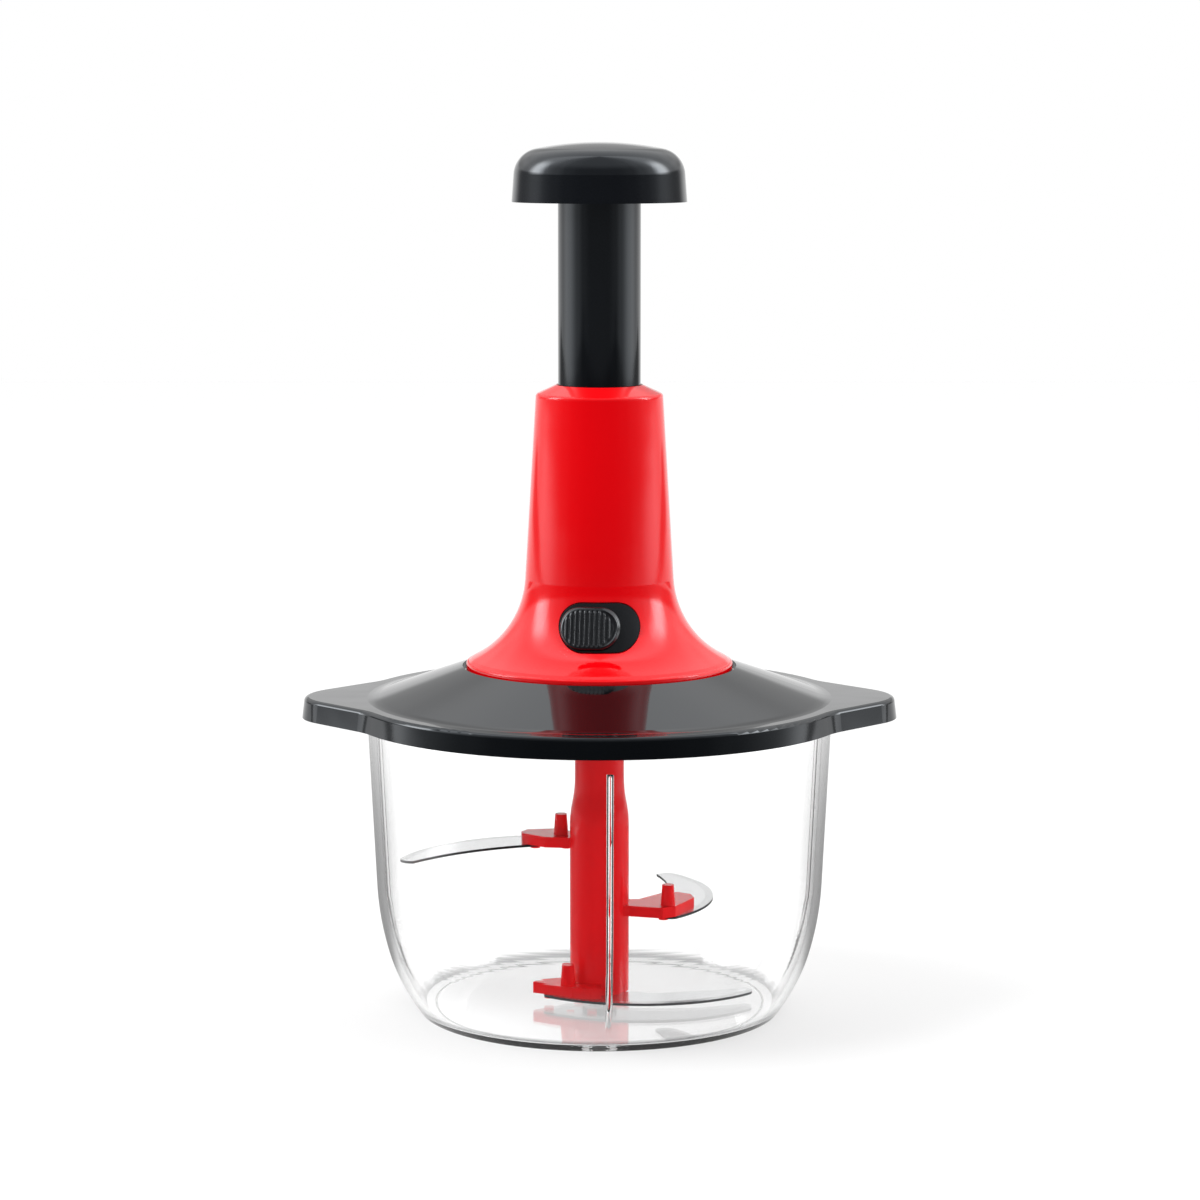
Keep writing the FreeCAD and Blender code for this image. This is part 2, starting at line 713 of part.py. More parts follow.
# ---------------------------------------------------------------- tower

def make_tower():
    body = new_body("tower")

    def flare(radius, turn):
        return (f"flare_centre_x - ({radius}) * cos({turn})",
                f"flare_centre_z - ({radius}) * sin({turn})")

    outer = "tower_flare_radius"
    inner = "(tower_flare_radius + tower_wall)"
    lip_top = "seat_z + tower_lip_height"
    plate_under = "tower_top - tower_top_plate"
    inner_top = "tower_top_radius - tower_wall + tower_top_plate * tan(tower_draft)"
    corners = [
        ("collar_inner", "collar_bottom"),
        ("collar_outer", "collar_bottom"),
        ("collar_outer", plate_under),
        (inner_top, plate_under),
        flare(inner, "tower_draft"),
        flare(inner, "tower_flare_turn"),
        ("tower_base_radius - tower_foot_width", "seat_z"),
        ("tower_base_radius", "seat_z"),
        ("tower_base_radius", f"{lip_top} - tower_lip_fillet"),
        ("tower_base_radius - tower_lip_fillet", lip_top),
        flare(outer, "tower_flare_turn"),
        flare(outer, "tower_draft"),
        ("tower_top_radius", "tower_top - tower_top_slope - tower_top_round"),
        ("tower_top_radius - tower_top_round * 0.6", "tower_top - tower_top_slope"),
        ("collar_inner + collar_chamfer", "tower_top"),
        ("collar_inner", "tower_top - collar_chamfer"),
    ]
    arcs = {
        4: (inner, 1),
        8: ("tower_lip_fillet", 1),
        10: (outer, -1),
        12: ("tower_top_round", 1),
    }
    revolve(body, outline(new_sketch(body, "tower_section"), corners, arcs))
    # Screw bosses inside the foot.
    boss_sketch = circle(new_sketch(body, "tower_boss", "XY_Plane", "seat_z"),
                         *polar("boss_ring", "45"), "boss_radius")
    boss = extrude(body, boss_sketch, "boss_height")
    around(body, [boss], "tower_screw_count")
    bore_sketch = circle(new_sketch(body, "tower_boss_bore", "XY_Plane", "seat_z"),
                         *polar("boss_ring", "45"), "screw_radius")
    bore = extrude(body, bore_sketch, "screw_length - lid_wall + drill_extra", cut=True)
    around(body, [bore], "tower_screw_count")
    # A guide block on each side, with a channel for the plunger's key.
    block_inner = "collar_inner + guide_inset"
    middle = "(tower_flare_radius + tower_wall / 2)"
    foot_x, foot_z = flare(middle, "guide_turn")
    block = [
        (block_inner, foot_z),
        (foot_x, foot_z),
        flare(middle, "tower_draft"),
        ("tower_top_radius - tower_wall / 2", "tower_top - tower_top_plate"),
        (block_inner, "tower_top - tower_top_plate"),
    ]
    guide = extrude(body, outline(new_sketch(body, "tower_guide"), block, {1: (middle, -1)}),
                    "key_width + 2 * key_gap + 2 * guide_wall", midplane=True)
    around(body, [guide], "2")
    channel_sketch = rectangle(new_sketch(body, "tower_channel"), f"{block_inner} - channel_overrun",
                               "tube_radius + key_reach + key_gap", f"{foot_z} - channel_overrun",
                               "collar_bottom")
    channel = extrude(body, channel_sketch, "key_width + 2 * key_gap", cut=True, midplane=True)
    around(body, [channel], "2")
    # The lock switch's window goes through the front wall only.
    window_sketch = racetrack(new_sketch(body, "tower_window"), "lock_z",
                              "(bezel_width + 2 * window_gap)", "(bezel_height + 2 * window_gap)")
    extrude(body, window_sketch, "tower_base_radius", cut=True)
    return body


def cut_cone(body, name, radius, outside):
    """Cut away all that lies outside, or inside, a cone that leans like the bezel."""
    reach = "(bezel_height / 2 + 2)"
    low = f"lock_z - {reach}"
    high = f"lock_z + {reach}"
    lean = f"{reach} * tan(bezel_lean)"
    far = "2 * tower_base_radius" if outside else "0"
    corners = [(far, low), (f"{radius} + {lean}", low), (f"{radius} - {lean}", high), (far, high)]
    return revolve(body, outline(new_sketch(body, name), corners), cut=True)


def curved_plate(label, width, height, inner, thickness):
    """A racetrack plate on the front, bent about the vertical axis and leaning like the bezel."""
    body = new_body(label)
    sketch = racetrack(new_sketch(body, f"{label}_outline"), "lock_z", width, height)
    extrude(body, sketch, "tower_base_radius")
    cut_cone(body, f"{label}_inside", inner, outside=False)
    cut_cone(body, f"{label}_outside", f"{inner} + {thickness}", outside=True)
    return body


def make_lock_bezel():
    body = curved_plate("lock_bezel", "bezel_width", "bezel_height",
                        "bezel_radius - bezel_thickness", "bezel_thickness")
    # The slot that the slider's stem moves in, from its rest place to the locked place.
    slack = "(asin((stem_width / 2 + slot_gap) / bezel_radius) / 1 deg)"
    left = f"-bezel_radius * sin(slider_azimuth + {slack})"
    right = f"bezel_radius * sin(slider_travel - slider_azimuth + {slack})"
    slot = rectangle(new_sketch(body, "lock_bezel_slot"), left, right,
                     "lock_z - stem_height / 2 - slot_gap", "lock_z + stem_height / 2 + slot_gap")
    extrude(body, slot, "tower_base_radius", cut=True)
    return body


def make_lock_slider():
    body = curved_plate("lock_slider", "slider_width", "slider_height",
                        "bezel_radius + slider_gap", "slider_thickness")
    stem = rectangle(new_sketch(body, "lock_slider_stem", offset="stem_reach"), "-stem_width / 2",
                     "stem_width / 2", "lock_z - stem_height / 2", "lock_z + stem_height / 2")
    extrude(body, stem, "bezel_radius + slider_gap + slider_thickness / 2 - stem_reach")
    bind(body, "Placement.Rotation.Angle", "-slider_azimuth")
    return body


# ---------------------------------------------------------------- plunger

def make_plunger_tube():
    body = new_body("plunger_tube")
    shoulder = "tube_inner - nut_shoulder"
    corners = [
        ("tube_inner", "tube_bottom"),
        ("tube_radius", "tube_bottom"),
        ("tube_radius", "tube_top"),
        ("tube_bore", "tube_top"),
        ("tube_bore", "tube_top - tube_flange"),
        ("tube_inner", "tube_top - tube_flange"),
        ("tube_inner", "nut_top + nut_shoulder"),
        (shoulder, "nut_top + nut_shoulder"),
        (shoulder, "nut_top"),
        ("tube_inner", "nut_top"),
    ]
    revolve(body, outline(new_sketch(body, "tube_section"), corners))
    key = rectangle(new_sketch(body, "tube_key"), "tube_radius - tube_wall / 2",
                    "tube_radius + key_reach", "tube_bottom", "key_top")
    keys = extrude(body, key, "key_width", midplane=True)
    around(body, [keys], "2")
    # The catch that the lock's stem covers when the plunger is down.
    reach = "(tube_radius + catch_reach)"
    root = "(tube_radius - tube_wall / 2)"
    middle = "(slider_travel - slider_azimuth - 90)"
    low_angle = f"{middle} - catch_half_angle"
    high_angle = f"{middle} + catch_half_angle"
    corners = [polar(root, low_angle), polar(reach, low_angle),
               polar(reach, high_angle), polar(root, high_angle)]
    catch = outline(new_sketch(body, "tube_catch", "XY_Plane", "tube_bottom"), corners,
                    {1: (reach, 1), 3: (root, -1)})
    extrude(body, catch, "catch_top - tube_bottom")
    hole = circle(new_sketch(body, "tube_screw_hole", "XY_Plane", "tube_top"),
                  "cap_screw_ring", "0", "cap_screw_radius")
    holes = extrude(body, hole, "tube_flange", cut=True, backwards=True)
    around(body, [holes], "2")
    return body


def make_plunger_cap():
    body = new_body("plunger_cap")
    crown_centre_z = "(crown_z - crown_radius * sin(cap_shoulder_turn))"
    collar_outer_radius = "(tube_radius + cap_collar_wall)"
    inner_side_x = "cap_shoulder_x - cap_wall"
    ceiling = "crown_z - cap_wall"
    corners = [
        ("0", "cap_ceiling"),
        ("tube_radius", "cap_ceiling"),
        ("tube_radius", "cap_underside + cap_collar_drop"),
        (collar_outer_radius, "cap_underside + cap_collar_drop"),
        (collar_outer_radius, ceiling),
        ("crown_x - cap_wall / 2", ceiling),
        (inner_side_x, "cap_shoulder_z"),
        ("cap_radius - cap_wall", "cap_underside"),
        ("cap_radius", "cap_underside"),
        ("cap_shoulder_x", "cap_shoulder_z"),
        ("crown_x", "crown_z"),
        ("0", f"{crown_centre_z} + crown_radius"),
    ]
    arcs = {
        5: ("cap_shoulder_radius", -1),
        9: ("cap_shoulder_radius", 1),
        10: ("crown_radius", 1),
    }
    revolve(body, outline(new_sketch(body, "cap_section"), corners, arcs))
    boss = circle(new_sketch(body, "cap_boss", "XY_Plane", "tube_top"),
                  "cap_screw_ring", "0", "cap_screw_boss")
    bosses = extrude(body, boss, "cap_ceiling - tube_top + cap_wall / 2")
    around(body, [bosses], "2")
    bore = circle(new_sketch(body, "cap_boss_bore", "XY_Plane", "tube_top"),
                  "cap_screw_ring", "0", "cap_screw_radius")
    bores = extrude(body, bore, "cap_screw_length - tube_flange + drill_extra", cut=True)
    around(body, [bores], "2")
    return body


# ---------------------------------------------------------------- screws

def screw_section(prefix, ring, seat, way):
    """The half section of one screw about its own axis at x = ring. Way is + or - along Z from
    the seat of the head to the screw's tip."""
    back = "-" if way == "+" else "+"
    return [
        (ring, f"{seat} {back} {prefix}_head_height"),
        (f"{ring} + {prefix}_head_radius", f"{seat} {back} {prefix}_head_height * 0.6"),
        (f"{ring} + {prefix}_head_radius", seat),
        (f"{ring} + {prefix}_radius", seat),
        (f"{ring} + {prefix}_radius", f"{seat} {way} ({prefix}_length - {prefix}_radius)"),
        (ring, f"{seat} {way} {prefix}_length"),
    ]


def make_screws(label, prefix, ring, seat, way, count, azimuth):
    """A ring of identical self-tapping screws, each turned about its own axis."""
    body = new_body(label)
    sketch = outline(new_sketch(body, f"{label}_section"), screw_section(prefix, ring, seat, way))
    low = number(f"{seat} - {prefix}_length")
    high = number(f"{seat} + {prefix}_length")
    centre = number(ring)
    line = Part.LineSegment(FreeCAD.Vector(centre, low, 0), FreeCAD.Vector(centre, high, 0))
    axis = sketch.addGeometry(line, True)
    pin_vertex(sketch, axis, 1, (ring, f"{seat} - {prefix}_length"))
    pin_vertex(sketch, axis, 2, (ring, f"{seat} + {prefix}_length"))
    screw = revolve(body, sketch)
    screw.ReferenceAxis = (sketch, ["Axis0"])
    around(body, [screw], count)
    bind(body, "Placement.Rotation.Angle", azimuth)
    return body


# ---------------------------------------------------------------- drive

def make_clutch_housing():
    inner = "housing_radius - housing_wall"
    body = turned_ring("clutch_housing", [
        (inner, "seat_z"),
        ("housing_flange_radius", "seat_z"),
        ("housing_flange_radius", "seat_z + housing_flange"),
        ("housing_radius", "seat_z + housing_flange"),
        ("housing_radius", "housing_top"),
        ("housing_bore", "housing_top"),
        ("housing_bore", "housing_top - housing_roof"),
        (inner, "housing_top - housing_roof"),
    ])
    hole = circle(new_sketch(body, "housing_hole", "XY_Plane", "seat_z + housing_flange"),
                  *polar("housing_screw_ring", "90"), "screw_radius")
    holes = extrude(body, hole, "housing_flange", cut=True, backwards=True)
    around(body, [holes], "housing_screw_count")
    return body


def make_spindle_bush():
    bore = "spindle_radius + running_gap"
    return turned_ring("spindle_bush", [
        (bore, "hub_bottom"),
        ("bush_radius", "hub_bottom"),
        ("bush_radius", "seat_z"),
        ("bush_flange_radius", "seat_z"),
        ("bush_flange_radius", "bush_top"),
        (bore, "bush_top"),
    ])


def dog(body, name, level, height, start):
    """One clutch dog: a ring segment that stands on a disc."""
    end = f"({start} + dog_angle)"
    corners = [polar("dog_inner_radius", start), polar("dog_outer_radius", start),
               polar("dog_outer_radius", end), polar("dog_inner_radius", end)]
    sketch = outline(new_sketch(body, name, "XY_Plane", level), corners,
                     {1: ("dog_outer_radius", 1), 3: ("dog_inner_radius", -1)})
    return around(body, [extrude(body, sketch, height)], "dog_count")


def make_clutch_driven():
    body = turned_ring("clutch_driven", [
        ("spindle_radius", "driven_bottom"),
        ("disc_radius", "driven_bottom"),
        ("disc_radius", "driven_top"),
        ("spindle_radius", "driven_top"),
    ])
    dog(body, "driven_dog", "driven_top", "dog_height", "0")
    return body


def make_clutch_driver():
    body = turned_ring("clutch_driver", [
        ("0", "driver_bottom"),
        ("disc_radius", "driver_bottom"),
        ("disc_radius", "driver_top"),
        ("bar_foot_radius", "driver_top"),
        ("bar_foot_radius", "bar_foot_bottom"),
        ("0", "bar_foot_bottom"),
    ])
    dog(body, "driver_dog", "driven_top + clutch_gap", "dog_height", "(180 / dog_count)")
    return body


def hexagon(body, name, level, across):
    """A hexagon about the vertical axis from its size across flats."""
    corner = f"({across}) / 2 / cos(30)"
    corners = [polar(corner, str(60 * step)) for step in range(6)]
    return outline(new_sketch(body, name, "XY_Plane", level), corners)


def make_output_spindle():
    hex_top = "carrier_top + clutch_gap"
    hex_bottom = "carrier_top - hex_length"
    body = turned_ring("output_spindle", [
        ("0", hex_bottom),
        ("spindle_radius", hex_bottom),
        ("spindle_radius", "clip_bottom"),
        ("clip_groove", "clip_bottom"),
        ("clip_groove", "clip_top"),
        ("spindle_radius", "clip_top"),
        ("spindle_radius", "driven_top"),
        ("0", "driven_top"),
    ])
    extrude(body, hexagon(body, "spindle_hex", hex_bottom, "hex_across_flats"),
            f"{hex_top} - ({hex_bottom})")
    return body


def make_spindle_clip():
    return turned_ring("spindle_clip", [
        ("clip_groove", "clip_bottom"),
        ("clip_radius", "clip_bottom"),
        ("clip_radius", "clip_top"),
        ("clip_groove", "clip_top"),
    ])


def twisted_prism(width, thickness, low, high):
    """A rectangular bar about the vertical axis with a left-hand twist of one turn per lead.

    Its section lies along X at the rest level of the nut's underside, so a bar and a hole made
    with the same lead stay in phase.
    """
    lead = number("bar_lead")
    phase = -360.0 * (low - number("nut_bottom")) / lead
    spine = Part.Wire([Part.makeLine(FreeCAD.Vector(0, 0, low), FreeCAD.Vector(0, 0, high))])
    helix = Part.makeLongHelix(lead, high - low, width, 0, True)
    helix.translate(FreeCAD.Vector(0, 0, low))
    half_width = width / 2
    half_thickness = thickness / 2
    corners = [(-half_width, -half_thickness), (half_width, -half_thickness),
               (half_width, half_thickness), (-half_width, half_thickness)]
    points = [FreeCAD.Vector(x, y, low) for x, y in corners]
    section = Part.makePolygon(points + points[:1])
    shell = Part.BRepOffsetAPI.MakePipeShell(spine)
    shell.setAuxiliarySpine(Part.Wire(helix), True, 0)
    shell.add(section, False, False)
    shell.build()
    shell.makeSolid()
    solid = shell.shape()
    solid.rotate(FreeCAD.Vector(0, 0, 0), FreeCAD.Vector(0, 0, 1), phase)
    return solid


def shape_feature(label, shape):
    feature = DOC.addObject("Part::Feature", label)
    feature.Label = label
    feature.Shape = shape
    feature.Placement = FreeCAD.Placement()
    return feature


def make_drive_rod():
    """The twisted bar with the round foot that is set in the clutch driver."""
    foot_bottom = number("bar_foot_bottom")
    foot_top = number("bar_foot_top")
    foot = Part.makeCylinder(number("bar_foot_radius"), foot_top - foot_bottom,
                             FreeCAD.Vector(0, 0, foot_bottom))
    bar = twisted_prism(number("bar_width"), number("bar_thickness"),
                        foot_top - number("bar_foot_overlap"), number("bar_top"))
    return shape_feature("drive_rod", foot.fuse(bar))


def make_drive_nut():
    """A disc held under the tube's shoulder, with a twisted slot that the bar turns in."""
    low = number("nut_bottom")
    high = number("nut_top")
    gap = 2 * number("nut_gap")
    overrun = number("slot_overrun")
    disc = Part.makeCylinder(number("tube_inner"), high - low, FreeCAD.Vector(0, 0, low))
    slot = twisted_prism(number("bar_width") + gap, number("bar_thickness") + gap,
                         low - overrun, high + overrun)
    return shape_feature("drive_nut", disc.cut(slot))


def make_return_spring():
    """A coil spring of round wire between the washer and the nut."""
    helix = DOC.addObject("Part::Helix", "spring_path")
    free = "(nut_bottom - washer_top - 2 * spring_wire_radius)"
    bind(helix, "Pitch", f"{free} / spring_turns")
    bind(helix, "Height", free)
    bind(helix, "Radius", "spring_radius")
    bind(helix, "Placement.Base.z", "washer_top + spring_wire_radius")
    wire = DOC.addObject("Part::Circle", "spring_wire")
    bind(wire, "Radius", "spring_wire_radius")
    wire.Placement = FreeCAD.Placement(FreeCAD.Vector(), FreeCAD.Rotation(FreeCAD.Vector(1, 0, 0), 90))
    bind(wire, "Placement.Base.x", "spring_radius")
    bind(wire, "Placement.Base.z", "washer_top + spring_wire_radius")
    DOC.recompute()
    sweep = DOC.addObject("Part::Sweep", "return_spring")
    sweep.Label = "return_spring"
    sweep.Sections = [wire]
    sweep.Spine = (helix, [])
    sweep.Solid = True
    sweep.Frenet = True
    return sweep


def make_spring_washer():
    return turned_ring("spring_washer", [
        ("housing_bore", "housing_top"),
        ("washer_radius", "housing_top"),
        ("washer_radius", "washer_top"),
        ("housing_bore", "washer_top"),
    ])


# ---------------------------------------------------------------- blades

# Plan outlines of the carrier's arms, from inside the shaft around the tip, each with the level
# of its underside, its peg's place, its two stakes' places and its blade's centre and root angle.
# Places are counted in plan steps, so that the arms and blades keep to the bowl's inside.
ARMS = {
    "bottom": {
        "level": "bottom_arm_height",
        "plan": [(-5, 5), (-13.4, 1.2), (-22.4, -3.9), (-23.2, -6.0), (-9.7, -14.6), (-3.5, -16.4),
                 (0.7, -16.0), (0.7, -5)],
        "peg": (-11.0, -10.0),
        "stakes": [(-17.6, -6.6), (-2.6, -11.6)],
        "blade_centre": (15.0, 31.9),
        "blade_root": -131.0,
    },
    "middle": {
        "level": "middle_arm_height",
        "plan": [(6, 4.5), (6, -6), (10.4, -6), (22, -9.6), (26.5, -6.5), (33.4, 7.5), (32.4, 13.4),
                 (28, 16.6), (22, 15), (14, 5.2)],
        "peg": (23.9, -4.6),
        "stakes": [(22.4, -2.6), (28.6, 12.0)],
        "blade_centre": (-13.0, 30.5),
        "blade_root": -45.0,
    },
    "top": {
        "level": "top_arm_height",
        "plan": [(-6, 8), (-16, 16), (-25.5, 14.5), (-27.6, 10.6), (-27.2, 7.6), (-19, 0.6),
                 (-11, -0.6), (-6, -2)],
        "peg": (-13.5, 6.0),
        "stakes": [(-22.6, 9.6), (-11.6, 9.0)],
        "blade_centre": (-15.5, -30.5),
        "blade_root": 81.0,
    },
}


def halfway(first, second):
    return ((first[0] + second[0]) / 2, (first[1] + second[1]) / 2)


def stepped(point):
    """The expressions of a plan place that is counted in plan steps."""
    x, y = point
    return f"{x} * plan_step", f"{y} * plan_step"


def square_around(point, side):
    """Corner expressions of a square of the given side about a point."""
    x, y = point
    return [(f"{x} {sx} {side} / 2", f"{y} {sy} {side} / 2")
            for sx, sy in (("-", "-"), ("+", "-"), ("+", "+"), ("-", "+"))]


def make_blade_carrier():
    body = new_body("blade_carrier")
    swell = "((carrier_swell_top - carrier_swell_bottom) / 2)"
    step = "((carrier_radius - carrier_neck_radius) / 2)"
    bend = f"({swell} ^ 2 + {step} ^ 2) / (2 * {step})"
    corners = [
        ("0", "carrier_foot"),
        ("carrier_radius", "carrier_foot"),
        ("carrier_radius", "carrier_swell_bottom"),
        (f"carrier_radius - {step}", f"carrier_swell_bottom + {swell}"),
        ("carrier_neck_radius", "carrier_swell_top"),
        ("carrier_neck_radius", "carrier_top"),
        ("0", "carrier_top"),
    ]
    revolve(body, outline(new_sketch(body, "carrier_section"), corners, {2: (bend, 1), 3: (bend, -1)}))
    for name, arm in ARMS.items():
        level = arm["level"]
        stakes = [stepped(stake) for stake in arm["stakes"]]
        corners = [stepped(corner) for corner in arm["plan"]]
        plan = outline(new_sketch(body, f"{name}_arm", "XY_Plane", level), corners)
        extrude(body, plan, "arm_thickness")
        peg = circle(new_sketch(body, f"{name}_peg", "XY_Plane", f"{level} + arm_thickness"),
                     *stepped(arm["peg"]), "peg_radius")
        extrude(body, peg, "peg_height", taper="-peg_draft")
        stake_sketch = new_sketch(body, f"{name}_stakes", "XY_Plane", level)
        head_sketch = new_sketch(body, f"{name}_heads", "XY_Plane", f"{level} - blade_thickness")
        for stake in stakes:
            circle(stake_sketch, *stake, "stake_radius")
            circle(head_sketch, *stake, "stake_head_radius")
        outline(stake_sketch, square_around(stepped(halfway(*arm["stakes"])), "stake_square"))
        extrude(body, stake_sketch, "blade_thickness", backwards=True)
        extrude(body, head_sketch, "stake_head_height", backwards=True)
    socket_depth = "pivot_top + end_gap - carrier_foot"
    socket = circle(new_sketch(body, "carrier_socket", "XY_Plane", "carrier_foot"), "0", "0",
                    "pivot_radius + running_gap")
    extrude(body, socket, socket_depth, cut=True)
    extrude(body, hexagon(body, "carrier_hex", "carrier_top", "hex_across_flats + 2 * hex_gap"),
            "carrier_bore_depth", cut=True, backwards=True)
    return body


def make_blade(name):
    """A crescent of sheet steel under one arm: convex edge, blunt tip and hollow back."""
    arm = ARMS[name]
    label = f"blade_{name}"
    centre_x, centre_y = arm["blade_centre"]
    root = arm["blade_root"]
    tip = f"({root} + blade_sweep)"

    def at(radius, angle):
        x, y = polar(radius, angle)
        return f"{centre_x} * plan_step + {x}", f"{centre_y} * plan_step + {y}"

    body = new_body(label)
    corners = [
        at("blade_arc_radius - blade_root_width", str(root)),
        at("blade_arc_radius", str(root)),
        at("blade_arc_radius", tip),
        at("blade_arc_radius - blade_tip_width", tip),
    ]
    under = f"{arm['level']} - blade_thickness"
    sketch = outline(new_sketch(body, f"{label}_plan", "XY_Plane", under), corners,
                     {1: ("blade_arc_radius", 1), 3: ("blade_back_radius", -1)})
    plate = extrude(body, sketch, "blade_thickness")
    outer_tip = FreeCAD.Vector(*(number(value) for value in corners[2]), 0)
    root_points = [FreeCAD.Vector(*(number(value) for value in corner), 0) for corner in corners[:2]]

    def upright_at(points):
        def matches(edge):
            middle = edge.CenterOfMass
            flat = FreeCAD.Vector(middle.x, middle.y, 0)
            return edge.BoundBox.ZLength > 0.5 and any((flat - point).Length < 0.05 for point in points)
        return matches

    tipped = round_edges(body, plate, upright_at([outer_tip]), "blade_tip_fillet", f"{label}_tip")
    round_edges(body, tipped, upright_at(root_points), "blade_root_fillet", f"{label}_root")
    holes = new_sketch(body, f"{label}_holes", "XY_Plane", under)
    for stake in arm["stakes"]:
        circle(holes, *stepped(stake), "stake_radius")
    outline(holes, square_around(stepped(halfway(*arm["stakes"])), "stake_square"))
    extrude(body, holes, "blade_thickness", cut=True)
    return body


# ---------------------------------------------------------------- assembly

def build_all():
    bowl = make_bowl()
    pivot_pin = make_pivot_pin()
    lid = make_lid()
    parts = [bowl, pivot_pin, lid, make_lid_seal(), make_tower(), make_lock_bezel(), make_lock_slider()]
    parts.append(make_screws("tower_screws", "screw", "boss_ring", "seat_under", "+",
                             "tower_screw_count", "45"))
    parts.append(make_screws("housing_screws", "screw", "housing_screw_ring",
                             "(seat_z + housing_flange)", "-", "housing_screw_count", "90"))
    parts.append(make_screws("cap_screws", "cap_screw", "cap_screw_ring", "(tube_top - tube_flange)",
                             "+", "2", "0"))
    parts += [make_plunger_tube(), make_plunger_cap(), make_drive_nut(), make_drive_rod()]
    parts += [make_return_spring(), make_spring_washer(), make_clutch_housing(), make_spindle_bush()]
    parts += [make_clutch_driven(), make_clutch_driver(), make_output_spindle(), make_spindle_clip()]
    parts.append(make_blade_carrier())
    parts += [make_blade(name) for name in ARMS]
    return parts


def check_document(parts):
    """Stop if any object failed or any sub-part has no valid solid."""
    for item in DOC.Objects:
        if "Invalid" in item.State or "Error" in item.State:
            raise RuntimeError(f"{item.Label} failed: {item.State}")
    for part in parts:
        if part.Shape.isNull() or not part.Shape.isValid() or not part.Shape.Solids:
            raise RuntimeError(f"{part.Label} has no valid solid")


def main():
    parts = build_all()
    DOC.recompute()
    check_document(parts)
    os.makedirs("parts", exist_ok=True)
    for part in parts:
        part.Shape.exportStep(f"parts/{part.Label}.step")
        print(f"{part.Label}: {len(part.Shape.Solids)} solid(s), {part.Shape.Volume:.1f} mm3")


main()
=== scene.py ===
"""Finishes, detail pieces, stage and light for a hand-press food chopper."""

import logging
import math
from dataclasses import dataclass
from enum import Enum
from typing import Callable, Iterable, Sequence, Union

import bpy
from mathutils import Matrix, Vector

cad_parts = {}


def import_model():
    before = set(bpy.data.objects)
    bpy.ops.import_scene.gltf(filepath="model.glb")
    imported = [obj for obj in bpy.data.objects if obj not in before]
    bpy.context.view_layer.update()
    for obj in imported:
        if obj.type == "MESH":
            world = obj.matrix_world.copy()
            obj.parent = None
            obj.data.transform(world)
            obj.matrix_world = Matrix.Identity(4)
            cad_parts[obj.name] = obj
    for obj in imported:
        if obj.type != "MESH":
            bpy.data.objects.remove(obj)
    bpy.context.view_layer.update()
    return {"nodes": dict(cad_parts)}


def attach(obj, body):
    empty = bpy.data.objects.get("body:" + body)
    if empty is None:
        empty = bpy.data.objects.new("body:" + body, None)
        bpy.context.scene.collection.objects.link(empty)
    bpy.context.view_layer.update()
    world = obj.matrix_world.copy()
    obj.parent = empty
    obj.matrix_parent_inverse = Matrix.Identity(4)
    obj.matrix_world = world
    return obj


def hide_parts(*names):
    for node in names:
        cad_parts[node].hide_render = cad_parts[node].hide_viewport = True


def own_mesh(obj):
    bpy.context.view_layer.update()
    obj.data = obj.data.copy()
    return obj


LOG = logging.getLogger("food_chopper")

Colour = tuple[float, float, float]
Point = tuple[float, float, float]
MM = 0.001
WHITE: Colour = (1.0, 1.0, 1.0)


# ---------------------------------------------------------------- shader expressions

Value = Union["Wire", float, int]


